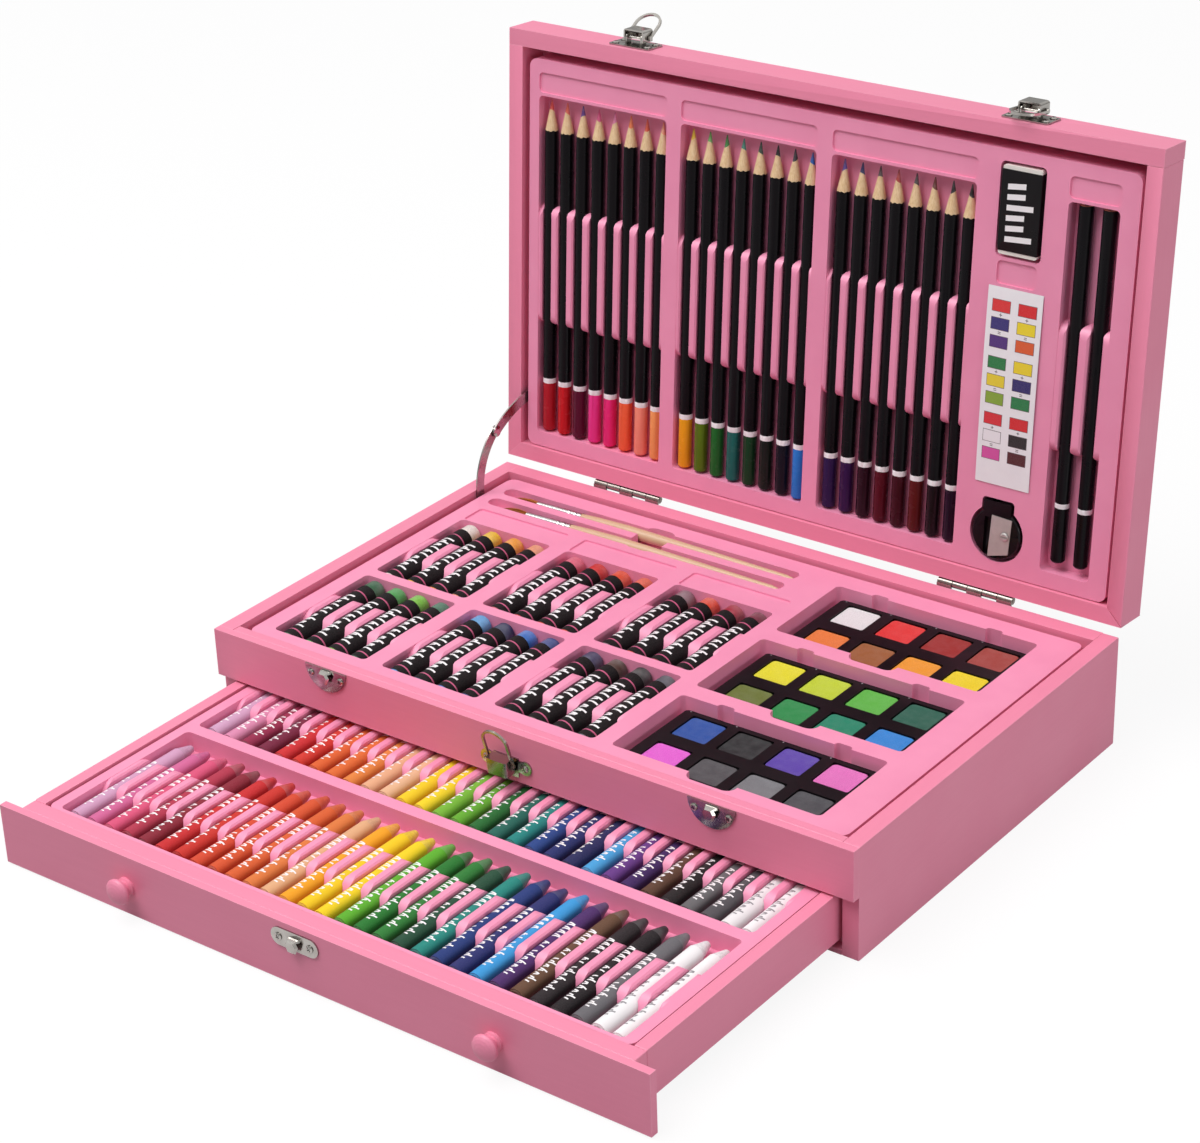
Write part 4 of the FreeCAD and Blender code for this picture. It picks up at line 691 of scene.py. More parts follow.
class Shell:
    """Gathers the points and faces of one piece, each point with its item's colour and place."""

    def __init__(self, name: str, finishes: Sequence[bpy.types.Material]) -> None:
        """Starts an empty piece.

        Args:
            name: The piece's name.
            finishes: The materials that its faces pick from.
        """
        self.name = name
        self.finishes = finishes
        self.spots: list[Vector] = []
        self.locals: list[Vector] = []
        self.tints: list[Colour] = []
        self.faces: list[tuple[int, ...]] = []
        self.slots: list[int] = []
        self.shift = Vector()

    def begin(self) -> None:
        """Starts a new item, whose patterns don't repeat those of the last."""
        number = len(self.spots)
        self.shift = Vector((number % 7, number % 11, number % 13)) * ITEM_SHIFT

    def points(self, local: Iterable[Sequence[float]], place: Matrix, tint: Colour) -> int:
        """Adds points given in an item's own frame.

        Args:
            local: The points in millimetres.
            place: Where the item's frame is.
            tint: The item's colour.

        Returns:
            The first new point's number.
        """
        first = len(self.spots)
        for spot in local:
            vector = Vector(spot) * MM
            self.spots.append(place @ vector)
            self.locals.append(vector + self.shift)
            self.tints.append(tint)
        return first

    def face(self, slot: int, *corners: int) -> None:
        """Adds a face with one of the finishes."""
        self.faces.append(corners)
        self.slots.append(slot)

    def loops(self, loops: Sequence[tuple[int, int]], slots: Sequence[int],
              close: bool = True) -> None:
        """Joins loops of points with faces.

        Args:
            loops: The first point and the number of points of each loop. A count of 1 is a pole.
            slots: The finish between each loop and the next.
            close: False leaves the loops open, as strips.
        """
        for (start, count), (following, next_count), slot in zip(loops, loops[1:], slots):
            steps = max(count, next_count)
            for i in range(steps if close else steps - 1):
                j = (i + 1) % steps
                if count == 1:
                    self.face(slot, start, following + j, following + i)
                elif next_count == 1:
                    self.face(slot, start + i, start + j, following)
                else:
                    self.face(slot, start + i, start + j, following + j, following + i)

    def turn(self, rings: Sequence[Ring], place: Matrix, tint: Colour, core: Colour, sides: int,
             draw: random.Random) -> None:
        """Adds a turned stick that lies along its own Y axis.

        Args:
            rings: Its rings, from its start.
            place: Where its axis starts.
            tint: Its colour.
            core: Its core's colour.
            sides: How many points are in a ring.
            draw: The source of its ragged edges.
        """
        self.begin()
        loops = []
        for ring in rings:
            lean, first, second = (draw.uniform(0, math.tau) for _ in range(3))
            spots = []
            for i in range(sides if ring.radius else 1):
                angle = math.tau * i / sides
                # Two waves of different lengths look torn, and not toothed.
                torn = math.sin(9 * angle + first) + 0.6 * math.sin(5 * angle + second)
                wander = ring.ragged * torn + ring.slant * math.sin(angle + lean)
                spots.append((-ring.radius * math.cos(angle), ring.along + wander,
                              ring.radius * math.sin(angle)))
            loops.append((self.points(spots, place, core if ring.core else tint), len(spots)))
        self.loops(loops, [ring.slot for ring in rings])

    def wrap(self, radius: float, along: tuple[float, float], reach: tuple[float, float],
             skew: float, place: Matrix, tint: Colour, slot: int) -> None:
        """Adds a printed bar on a stick's upper side.

        Args:
            radius: The stick's radius.
            along: Where the bar starts and ends along the stick.
            reach: The angles from the top that it runs between, in degrees.
            skew: How much further along its second edge is.
            place: Where the stick's axis starts.
            tint: The bar's colour.
            slot: The bar's finish.
        """
        edge: list[list[tuple[float, float, float]]] = [[], []]
        for i in range(BAR_POINTS):
            part = i / (BAR_POINTS - 1)
            angle = math.radians(reach[0] + (reach[1] - reach[0]) * part)
            for side in (0, 1):
                edge[side].append((radius * math.sin(angle), along[side] + skew * part,
                                   radius * math.cos(angle)))
        loops = [(self.points(spots, place, tint), BAR_POINTS) for spots in edge]
        self.loops(loops, [slot], close=False)

    def pad(self, layers: Sequence[tuple[float, float]], size: tuple[float, float], corner: float,
            place: Matrix, tint: Colour, slot: int, dome: float = 0.0) -> None:
        """Adds a block with rounded corners from stacked outlines, and closes its top.

        Args:
            layers: How far each outline is inset, and its height.
            size: The outermost outline's width and depth.
            corner: The outermost outline's corner radius.
            place: Where its centre is.
            tint: Its colour.
            slot: Its finish.
            dome: How much higher its centre is than its last outline.
        """
        self.begin()
        loops = []
        for inset, height in layers:
            half_x, half_y = size[0] / 2 - inset, size[1] / 2 - inset
            radius = max(corner - inset, LEAST_CORNER)
            spots = []
            for quarter, (sx, sy) in enumerate(((1, 1), (-1, 1), (-1, -1), (1, -1))):
                for i in range(CORNER_POINTS):
                    angle = math.radians(90 * quarter + 90 * i / (CORNER_POINTS - 1))
                    spots.append((sx * (half_x - radius) + radius * math.cos(angle),
                                  sy * (half_y - radius) + radius * math.sin(angle), height))
            loops.append((self.points(spots, place, tint), len(spots)))
        loops.append((self.points([(0, 0, layers[-1][1] + dome)], place, tint), 1))
        self.loops(loops, [slot] * (len(loops) - 1))

    def make(self, body: Body, slot: str, *replaced: str,
             crease: float = EDGE_DEG) -> bpy.types.Object:
        """Makes the piece's object, hangs it on the body that it rides on, and hides the CAD nodes
        that it stands for.

        Args:
            body: The body that it rides on.
            slot: The record's material slot for its finish. It is not used.
            *replaced: The CAD nodes that it stands for.
            crease: The angle between faces, in degrees, over which an edge stays sharp.

        Returns:
            The object.
        """
        mesh = bpy.data.meshes.new(self.name)
        mesh.from_pydata(self.spots, [], self.faces)
        for finish in self.finishes:
            mesh.materials.append(finish)
        mesh.polygons.foreach_set("material_index", self.slots)
        tint = mesh.attributes.new("tint", "FLOAT_COLOR", "POINT")
        tint.data.foreach_set("color", [channel for colour in self.tints for channel in colour])
        local = mesh.attributes.new("local", "FLOAT_VECTOR", "POINT")
        local.data.foreach_set("vector", [number for spot in self.locals for number in spot])
        mesh.polygons.foreach_set("use_smooth", [True] * len(self.faces))
        mesh.set_sharp_from_angle(angle=math.radians(crease))
        piece = bpy.data.objects.new(self.name, mesh)
        bpy.context.scene.collection.objects.link(piece)
        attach(piece, body.value)
        if replaced:
            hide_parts(*replaced)
        LOG.info("%s: %d faces", self.name, len(self.faces))
        return piece


@dataclass(frozen=True)
class Print:
    """A row of slanted bars on a stick's wrapper.

    Attributes:
        heights: The bars' heights as shares of the tallest, with 0 for a gap.
        first: Where the first bar starts along the stick.
        pitch: The distance from one bar's start to the next one's.
        width: The bars' width along the stick.
        leans: How far along the stick the far end of an even and of an odd bar is shifted.
        tall: How many degrees of the stick the tallest bar covers.
        above: How far the ink stands off the stick.
        foot: Where the bars start, in degrees from the stick's top.
    """

    heights: tuple[float, ...]
    first: float
    pitch: float
    width: float
    leans: tuple[float, float]
    tall: float
    above: float
    foot: float = -30.0

    def stamp(self, shell: Shell, radius: float, place: Matrix, tint: Colour, slot: int) -> None:
        """Prints the bars on one stick.

        Args:
            shell: The piece that the stick belongs to.
            radius: The stick's radius.
            place: Where the stick's axis starts.
            tint: The ink's colour.
            slot: The ink's finish.
        """
        for j, height in enumerate(self.heights):
            if height:
                along = self.first + j * self.pitch
                reach = (self.foot, self.foot + self.tall * height)
                shell.wrap(radius + self.above, (along, along + self.width), reach,
                           self.leans[j % 2], place, tint, slot)


def dress(node: str, finish: bpy.types.Material) -> bpy.types.Object:
    """Gives a CAD node one material.

    Args:
        node: The node's name.
        finish: The material.

    Returns:
        The node's object.
    """
    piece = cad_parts[node]
    piece.data.materials.clear()
    piece.data.materials.append(finish)
    LOG.info("%s: %s", node, finish.name)
    return piece


def soften(piece: bpy.types.Object, radius: float, steps: int = 2) -> None:
    """Rounds a piece's sharp edges.

    Args:
        piece: The piece.
        radius: The radius in millimetres.
        steps: How many faces run round each edge.
    """
    # The welding joins the faces of a CAD node at their edges, which a bevel needs.
    weld = piece.modifiers.new("weld", "WELD")
    weld.merge_threshold = 0.002 * MM
    bevel = piece.modifiers.new("soft_edges", "BEVEL")
    bevel.width = radius * MM
    bevel.segments = steps
    bevel.limit_method = "ANGLE"
    bevel.angle_limit = math.radians(EDGE_DEG)
    bevel.harden_normals = True
    bevel.use_clamp_overlap = True


# The case


@dataclass
class Woodwork:
    """The painted boards of the base, the lid and the drawer, with the drawer's knobs.

    Attributes:
        boards: Their CAD nodes.
        edge: The radius of their sanded edges.
        finish: Their paint.
    """

    boards: tuple[str, ...] = (
        "base_bottom", "base_left_side", "base_right_side", "base_back_wall", "base_front_rail",
        "base_inner_rail", "base_shelf", "drawer_runners", "lid_left_rail", "lid_right_rail",
        "lid_front_rail", "lid_back_rail", "lid_panel", "drawer_front", "drawer_inner_front",
        "drawer_left_side", "drawer_right_side", "drawer_back", "drawer_bottom", "drawer_knobs")
    edge: float = 0.6
    finish: PaintedBoard = PaintedBoard()

    def grain(self, node: str) -> Axis:
        """Finds the way that a board's grain runs, which is its length.

        Args:
            node: The board's CAD node.

        Returns:
            The axis along which the board is longest.
        """
        low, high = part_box(node)
        size = high - low
        return Axis(max(range(3), key=lambda i: size[i]))

    def build(self) -> None:
        """Paints every board and softens its edges."""
        paints = {axis: self.finish.material(axis) for axis in Axis}
        for node in self.boards:
            piece = dress(node, paints[self.grain(node)])
            if node != "drawer_knobs":
                soften(piece, self.edge)


@dataclass
class Trays:
    """The three formed trays.

    Attributes:
        nodes: Their CAD nodes.
        finish: Their plastic.
    """

    nodes: tuple[str, ...] = ("base_tray", "lid_tray", "drawer_tray")
    finish: FormedTray = FormedTray()

    def build(self) -> None:
        """Gives the trays their plastic."""
        plastic = self.finish.material()
        for node in self.nodes:
            dress(node, plastic)


@dataclass
class Hardware:
    """The plated hinges, latches, catches, stay and screws.

    Attributes:
        plated: The nodes with bright plate.
        arms: The nodes of the lid stay's arms.
        hinges: The nodes of the hinges.
        handled: The nodes of the centre latch, which is handled most.
        bright: The plate of the first.
        strap: The plate of the arms.
        rolled: The plate of the hinges, darker than the bright plate as painted shade.
        worn: The plate of the centre latch.
    """

    plated: tuple[str, ...] = (
        "base_catches", "centre_latch_plate", "lid_latch_plates", "left_latch_lever",
        "left_latch_bail", "right_latch_lever", "right_latch_bail", "drawer_catch", "base_screws",
        "lid_screws", "drawer_screws", "stay_base_rivet", "stay_lid_rivet", "stay_elbow_rivet")
    arms: tuple[str, ...] = ("stay_lower_arm", "stay_upper_arm")
    hinges: tuple[str, ...] = ("hinge_base_leaves", "hinge_lid_leaves", "hinge_pins")
    handled: tuple[str, ...] = ("centre_latch_lever", "centre_latch_bail")
    bright: Nickel = Nickel("bright_nickel_plate")
    strap: Nickel = Nickel("nickel_plated_strap", colour="#B9B1AE", roughness=(0.2, 0.34), wave=5.0)
    # Painted shade: the hinges' plate is coloured darker so that their leaves mirror less of the
    # bright room.
    rolled: Nickel = Nickel("hinge_plate_with_painted_shade", colour="#A0968F", roughness=(0.22, 0.36),
                            wave=4.0)
    worn: Nickel = Nickel("handled_nickel_plate", colour="#A39A90", roughness=(0.16, 0.3),
                          depth=0.05)

    def build(self) -> None:
        """Plates the metalwork."""
        for finish, nodes in ((self.bright, self.plated), (self.strap, self.arms),
                              (self.rolled, self.hinges), (self.worn, self.handled)):
            plate = finish.material()
            for node in nodes:
                dress(node, plate)


# What the lid holds


@dataclass
class ColourPencils:
    """Three groups of eight sharpened pencils in the lid.

    Attributes:
        radius: A pencil's radius.
        length: A pencil's length.
        cone: The length of its sharpened end.
        band: Where its white band starts and ends.
        band_height: How far the band stands off the lacquer.
        pitch: The distance between neighbours.
        group_first: The middle of the first group, along X.
        group_pitch: The distance between groups.
        start: How far from the hinge edge the pencils start.
        bed: The height that they lie on, from the lid's rim.
        sides: How many faces run round a pencil.
        caps: Each pencil's dipped cap.
        leads: Each pencil's lead.
    """

    radius: float = 3.5
    length: float = 179.0
    cone: float = 15.7
    band: tuple[float, float] = (26.6, 29.3)
    band_height: float = 0.03
    pitch: float = 10.04
    group_first: float = -127.0
    group_pitch: float = 88.7
    start: float = 18.0
    bed: float = -10.0
    sides: int = 36
    caps: tuple[tuple[str, ...], ...] = (
        ("#B3202C", "#CF2027", "#5B1230", "#F03C93", "#EE2E7C", "#FA6A42", "#FA937C", "#FAA160"),
        ("#F2A51E", "#5A7A17", "#1F6A2B", "#1E6A62", "#123F22", "#16201B", "#12141F", "#2F7FD6"),
        ("#2E1A4C", "#35164A", "#2A0E1C", "#57101F", "#400F1B", "#5E1A1A", "#1B1116", "#241127"))
    leads: tuple[tuple[str, ...], ...] = (
        ("#E0453A", "#E65B3B", "#5E2A8C", "#D8447F", "#E07AA8", "#EE7A38", "#E2552F", "#F2A07C"),
        ("#E8C32A", "#63B04C", "#2E8B33", "#1F8C77", "#143D2A", "#161616", "#1A1226", "#2B6FC8"),
        ("#54309A", "#1F2C66", "#3A1418", "#B5241F", "#2A1410", "#6E2A1C", "#121012", "#0E0D10"))

    def rings(self) -> list[Ring]:
        """Lists the rings of a pencil.

        Returns:
            The rings, from its dipped cap to its lead's point.
        """
        lacquer, white, cap, wood, lead = range(5)
        r, end = self.radius, self.length
        shoulder = end - self.cone
        start, stop = self.band
        raised = r + self.band_height
        return [Ring(0, 0, cap), Ring(0, r - 0.9, cap), Ring(0.3, r - 0.35, cap),
                Ring(1.0, r, cap), Ring(start, r, white, ragged=0.05),
                Ring(start, raised, white, ragged=0.05), Ring(stop, raised, white, ragged=0.05),
                Ring(stop, r, lacquer, ragged=0.05), Ring(shoulder - 0.8, r, lacquer),
                Ring(shoulder, r - 0.08, wood, ragged=0.22), Ring(end - 10.0, 2.25, wood),
                Ring(end - 5.6, 1.25, lead, slant=0.8, core=True),
                Ring(end - 2.0, 0.6, lead, core=True), Ring(end - 0.3, 0.3, lead, core=True),
                Ring(end, 0, lead, core=True)]

    def build(self) -> None:
        """Turns the pencils and lays them in their groups."""
        finishes = [Lacquer("black_pencil_lacquer", "#09060A").material(),
                    Lacquer("white_band_lacquer", "#F2EEF0").material(),
                    Lacquer("dipped_cap_lacquer", None, (0.2, 0.3)).material(),
                    CutWood("sharpened_basswood").material(),
                    Pigment("coloured_lead", 0.6, 0.4, 0.03, 0.12).material()]
        shell = Shell("colour_pencil_set", finishes)
        draw = random.Random(11)
        for group, (caps, leads) in enumerate(zip(self.caps, self.leads)):
            for i, (cap, lead) in enumerate(zip(caps, leads)):
                centred = i - (len(caps) - 1) / 2
                x = self.group_first + group * self.group_pitch + centred * self.pitch
                place = lid_frame() @ at(x, self.start, self.bed + self.radius)
                place = place @ Matrix.Rotation(draw.uniform(0, math.tau), 4, "Y")
                shell.turn(self.rings(), place, linear(cap), linear(lead), self.sides, draw)
        shell.make(Body.LID, "pencil_lacquer", "colour_pencils")


@dataclass
class SketchPencils:
    """Two unsharpened drawing pencils.

    Attributes:
        radius: A pencil's radius.
        length: A pencil's length.
        lead: The graphite's radius.
        grey: The graphite.
        band: Where the white band starts and ends.
        band_height: How far the band stands off the lacquer.
        pitch: The distance between the two.
        centre: The middle of the pair, along X.
        start: How far from the hinge edge they start.
        bed: The height that they lie on, from the lid's rim.
        sides: How many faces run round a pencil.
    """

    radius: float = 3.5
    length: float = 176.0
    lead: float = 1.1
    grey: str = "#2A2A2E"
    band: tuple[float, float] = (28.0, 30.4)
    band_height: float = 0.03
    pitch: float = 12.2
    centre: float = 151.6
    start: float = 22.0
    bed: float = -10.0
    sides: int = 36

    def rings(self) -> list[Ring]:
        """Lists the rings of a pencil.

        Returns:
            The rings, from its dipped end to its sawn end.
        """
        lacquer, white, wood, graphite = range(4)
        r, end = self.radius, self.length
        start, stop = self.band
        raised = r + self.band_height
        return [Ring(0, 0, lacquer), Ring(0, r - 0.7, lacquer), Ring(0.9, r, lacquer),
                Ring(start, r, white, ragged=0.05), Ring(start, raised, white, ragged=0.05),
                Ring(stop, raised, white, ragged=0.05), Ring(stop, r, lacquer, ragged=0.05),
                Ring(end - 0.2, r, lacquer), Ring(end, r - 0.2, wood),
                Ring(end, self.lead, graphite), Ring(end, 0, graphite)]

    def build(self) -> None:
        """Turns the two pencils."""
        finishes = [Lacquer("black_sketch_lacquer", "#08060A").material(),
                    Lacquer("white_sketch_band", "#EDE9EC").material(),
                    CutWood("sawn_basswood", width=0.35).material(),
                    Pigment("graphite", 0.35, 0.4, 0.01, 0.1, "#8A8A90").material()]
        shell = Shell("sketch_pencil_pair", finishes)
        draw = random.Random(12)
        grey = linear(self.grey)
        for side in (-0.5, 0.5):
            x = self.centre + side * self.pitch
            place = lid_frame() @ at(x, self.start, self.bed + self.radius)
            shell.turn(self.rings(), place, grey, grey, self.sides, draw)
        shell.make(Body.LID, "pencil_lacquer", "sketch_pencils")


@dataclass
class MixingCard:
    """A slightly bowed card with a table of colours to mix.

    Each third of the table adds two colours of a column to make the one below them, so a plus
    sign follows the first and an equals sign the second.

    Attributes:
        size: The card's width and height.
        centre: Its centre in the lid's frame.
        face: The height of its edges, from the lid's rim.
        bow: How far its middle bulges out.
        thickness: How thick it is.
        facet: About how far apart the points of a printed patch are.
        swatch: The width and height of a patch of colour.
        border: How much wider the line round a patch is.
        columns: Where the two columns are, from the card's middle.
        rows: Where the patches of a column are.
        left: The colours of the left column.
        right: The colours of the right column.
        white: The card.
        line: The lines round the patches.
        sign: The signs.
        sign_drop: How far below a patch its sign is.
        bar: The length and width of a sign's bars.
        gap: How far each bar of an equals sign is from its middle.
    """

    size: tuple[float, float] = (29.2, 98.0)
    centre: tuple[float, float] = (115.1, 103.5)
    face: float = -1.55
    bow: float = 0.9
    thickness: float = 0.35
    facet: float = 2.5
    swatch: tuple[float, float] = (9.4, 5.6)
    border: float = 0.5
    columns: tuple[float, float] = (-7.0, 7.0)
    rows: tuple[float, ...] = (40.0, 31.2, 22.4, 12.0, 3.2, -5.6, -16.0, -24.8, -33.6)
    left: tuple[str, ...] = ("#DE2B2B", "#2B2372", "#4A2278", "#0F7A3C", "#EBD22C", "#86A82E",
                             "#DB2530", "#F1EDF1", "#D94FA2")
    right: tuple[str, ...] = ("#D8191F", "#F0D81F", "#DE5A22", "#EFD51F", "#241C66", "#0D7A40",
                              "#D81B22", "#141013", "#4E0A14")
    white: str = "#F4F1F4"
    line: str = "#6A5560"
    sign: str = "#3A3036"
    sign_drop: float = 4.4
    bar: tuple[float, float] = (1.5, 0.3)
    gap: float = 0.4

    def lift(self, x: float, y: float) -> float:
        """Works out the height of the bowed card at a point of it.

        Args:
            x: The point's place across the card, from its centre.
            y: The point's place along the card, from its centre.

        Returns:
            The height from the lid's rim.
        """
        across = 1 - (2 * x / self.size[0]) ** 2
        along = 1 - (2 * y / self.size[1]) ** 2
        return self.face + self.bow * along * (0.6 + 0.4 * across)

    def patch(self, shell: Shell, centre: tuple[float, float], size: tuple[float, float],
              above: float, tint: str, slot: int) -> None:
        """Adds a printed patch that follows the card's bow.

        Args:
            shell: The piece to add it to.
            centre: Its centre on the card.
            size: Its width and height.
            above: How far it stands off the card.
            tint: Its colour.
            slot: Its finish.
        """
        steps_x = max(2, round(size[0] / self.facet) + 1)
        steps_y = max(2, round(size[1] / self.facet) + 1)
        place = lid_frame() @ at(self.centre[0], self.centre[1], 0)
        loops = []
        for j in range(steps_y):
            y = centre[1] + size[1] * (j / (steps_y - 1) - 0.5)
            spots = []
            for i in range(steps_x):
                x = centre[0] + size[0] * (i / (steps_x - 1) - 0.5)
                spots.append((x, y, self.lift(x, y) + above))
            loops.append((shell.points(spots, place, linear(tint)), steps_x))
        shell.loops(loops, [slot] * steps_y, close=False)

    def print_sign(self, shell: Shell, centre: tuple[float, float], plus: bool) -> None:
        """Prints a plus or an equals sign.

        Args:
            shell: The piece to add it to.
            centre: Its centre on the card.
            plus: True for a plus sign, False for an equals sign.
        """
        x, y = centre
        long, thin = self.bar
        for shift in (0.0,) if plus else (-self.gap, self.gap):
            self.patch(shell, (x, y + shift), (long, thin), 0.04, self.sign, 1)
        if plus:
            self.patch(shell, (x, y), (thin, long), 0.05, self.sign, 1)

    def build(self) -> None:
        """Makes the card and its printing."""
        card = MouldedPlastic("coated_white_card", self.white, "#E9E4E9", (0.3, 0.4), 0.5, 0.01)
        shell = Shell("mixing_card", [card.material(), Ink("offset_ink").material()])
        for above in (0.0, -self.thickness):
            self.patch(shell, (0, 0), self.size, above, self.white, 0)
        width, height = self.swatch
        outline = (width + self.border, height + self.border)
        for column, tints in zip(self.columns, (self.left, self.right)):
            for i, (y, tint) in enumerate(zip(self.rows, tints)):
                self.patch(shell, (column, y), outline, 0.04, self.line, 1)
                self.patch(shell, (column, y), (width, height), 0.08, tint, 1)
                if i % 3 != 2:
                    self.print_sign(shell, (column, y - self.sign_drop), i % 3 == 0)
        shell.make(Body.LID, "printed_card", "colour_card")


@dataclass
class EraserAndSharpener:
    """The eraser in its printed sleeve, and the round sharpener.

    Attributes:
        eraser: The eraser's centre in the lid's frame.
        sleeve_top: The height of its sleeve, from the lid's rim.
        marks: How many bars the sleeve's print has.
        mark_pitch: The distance between bars.
        mark: A long bar's half length, its width and how far its ends are slanted.
        long_marks: Which bars are long.
        short: How long the others are, as a share of a long one.
        vinyl: The eraser.
        card: Its sleeve.
        styrene: The sharpener's body.
        steel: Its blade and screw, ground and so less like a mirror than the plated parts.
    """

    eraser: tuple[float, float] = (114.3, 189.8)
    sleeve_top: float = -0.8
    marks: int = 6
    mark_pitch: float = 5.0
    mark: tuple[float, float, float] = (7.0, 2.7, 1.2)
    long_marks: tuple[int, ...] = (0, 3)
    short: float = 0.68
    vinyl: MouldedPlastic = MouldedPlastic("vinyl_eraser", "#E9E4DD", "#D8D1CB", (0.45, 0.6), 0.8,
                                           0.03)
    card: MouldedPlastic = MouldedPlastic("black_coated_card", "#0B080B", "#150F13", (0.25, 0.38),
                                          0.6, 0.01)
    styrene: MouldedPlastic = MouldedPlastic("gloss_black_styrene", "#0F0A0E", "#1D1519",
                                             (0.12, 0.26), 0.8, 0.01)
    steel: Nickel = Nickel("ground_blade_steel", colour="#CFCBC8", roughness=(0.3, 0.45),
                           wave=8.0, depth=0.02, metallic=0.55)

    def print_sleeve(self) -> None:
        """Prints the sleeve with slanted bars."""
        shell = Shell("sleeve_marks", [Ink("white_ink").material()])
        reach, width, skew = self.mark
        for i in range(self.marks):
            y = (i - (self.marks - 1) / 2) * self.mark_pitch
            place = lid_frame() @ at(self.eraser[0], self.eraser[1] + y, self.sleeve_top + 0.05)
            half = reach * (1.0 if i in self.long_marks else self.short)
            spots = [(-reach, -width / 2 - skew, 0), (2 * half - reach, -width / 2, 0),
                     (2 * half - reach, width / 2, 0), (-reach, width / 2 - skew, 0)]
            first = shell.points(spots, place, linear("#F1EEF0"))
            shell.face(0, first, first + 1, first + 2, first + 3)
        shell.make(Body.LID, "printed_card")

    def build(self) -> None:
        """Dresses the CAD solids and prints the sleeve."""
        for node, finish, radius, steps in (("eraser_core", self.vinyl, 0.5, 3),
                                            ("eraser_sleeve", self.card, 0.25, 2),
                                            ("sharpener_body", self.styrene, 0.4, 2)):
            soften(dress(node, finish.material()), radius, steps)
        steel = self.steel.material()
        for node in ("sharpener_blade", "sharpener_screw"):
            dress(node, steel)
        self.print_sleeve()


# What the upper tray holds


@dataclass
class Pastels:
    """Six pockets of four oil pastels, each in a black wrapper.

    Attributes:
        radius: A wrapped pastel's radius.
        length: A pastel's length.
        tip: The length of its bare end.
        pitch: The distance between neighbours.
        pocket_first: The middle of the first pocket, along X and from the case's front.
        pocket_pitch: The distances between pockets.
        bed: The height that the pastels lie on.
        roll: How far a pastel is rolled round its axis at the most, in degrees.
        sides: How many faces run round a pastel.
        band: The two rings round a wrapper.
        white: The print.
        marks: The bars of the print.
        tints: The pastels' colours, pocket by pocket from the front left.
    """

    radius: float = 5.75
    length: float = 69.0
    tip: float = 8.0
    pitch: float = 14.5
    pocket_first: tuple[float, float] = (-134.3, 54.8)
    pocket_pitch: tuple[float, float] = (68.7, 77.0)
    bed: float = 43.5
    roll: float = 9.0
    sides: int = 40
    band: str = "#C4567E"
    white: str = "#F3EFF1"
    marks: Print = Print(
        (1.0, 0.6, 0.65, 0.6, 1.0, 0.6, 0.6, 0.0, 1.0, 0.55, 0.9, 0.0, 1.0, 0.6, 0.65, 0.95, 0.6,
         1.0), first=10.0, pitch=2.2, width=1.25, leans=(-0.5, 0.9), tall=58.0, above=0.04)
    tints: tuple[tuple[str, ...], ...] = (
        ("#155C33", "#2E9A3A", "#7BC142", "#1E6B4A"), ("#4FA0DB", "#1B2B54", "#2C6FC4", "#1D3F86"),
        ("#231C52", "#4A2F24", "#161416", "#4A4E5A"),
        ("#EDE4DC", "#F0C21C", "#F2A01F", "#F0A077"), ("#E05A78", "#D12A24", "#E34E28", "#E8552C"),
        ("#8A6470", "#E24A2C", "#A81F38", "#7A1A38"))

    def rings(self) -> list[Ring]:
        """Lists the rings of a pastel.

        Returns:
            The rings, from its wrapped front end to its bare tip.
        """
        paper, stick, pink = range(3)
        r, end = self.radius, self.length
        wrap = end - self.tip
        bands: list[Ring] = []
        for band in (5.4, wrap - 7.2):
            bands += [Ring(band, r, pink, core=True), Ring(band + 0.9, r, paper, core=True)]
        return [Ring(0, 0, stick), Ring(0, r - 1.0, stick), Ring(0.5, r - 0.4, stick),
                Ring(0.9, r - 0.25, stick), Ring(0.9, r, paper), *bands,
                Ring(wrap - 0.05, r, paper, ragged=0.04), Ring(wrap, r - 0.25, stick),
                Ring(end - 1.2, r - 0.35, stick), Ring(end - 0.4, r - 0.75, stick),
                Ring(end, r - 1.5, stick), Ring(end, 0, stick)]

    def build(self) -> None:
        """Turns the pastels and prints their wrappers."""
        finishes = [WrapPaper("black_pastel_paper", "#0E0A0D", 0.0).material(),
                    Pigment("oil_pastel_stick", 0.5, 0.9, 0.06, 0.14).material(),
                    Ink("pink_band_ink").material(), Ink("pastel_print_ink").material()]
        shell = Shell("oil_pastel_set", finishes)
        draw = random.Random(21)
        for pocket, tints in enumerate(self.tints):
            x0 = self.pocket_first[0] + (pocket % 3) * self.pocket_pitch[0]
            y0 = CASE_FRONT + self.pocket_first[1] + (pocket // 3) * self.pocket_pitch[1]
            for i, tint in enumerate(tints):
                x = x0 + (i - 1.5) * self.pitch
                roll = math.radians(draw.uniform(-self.roll, self.roll))
                place = at(x, y0 - self.length / 2, self.bed + self.radius)
                place = place @ Matrix.Rotation(roll, 4, "Y")
                shell.turn(self.rings(), place, linear(tint), linear(self.band), self.sides, draw)
                self.marks.stamp(shell, self.radius, place, linear(self.white), 3)
        shell.make(Body.BASE, "pastel_wrap", "oil_pastels")


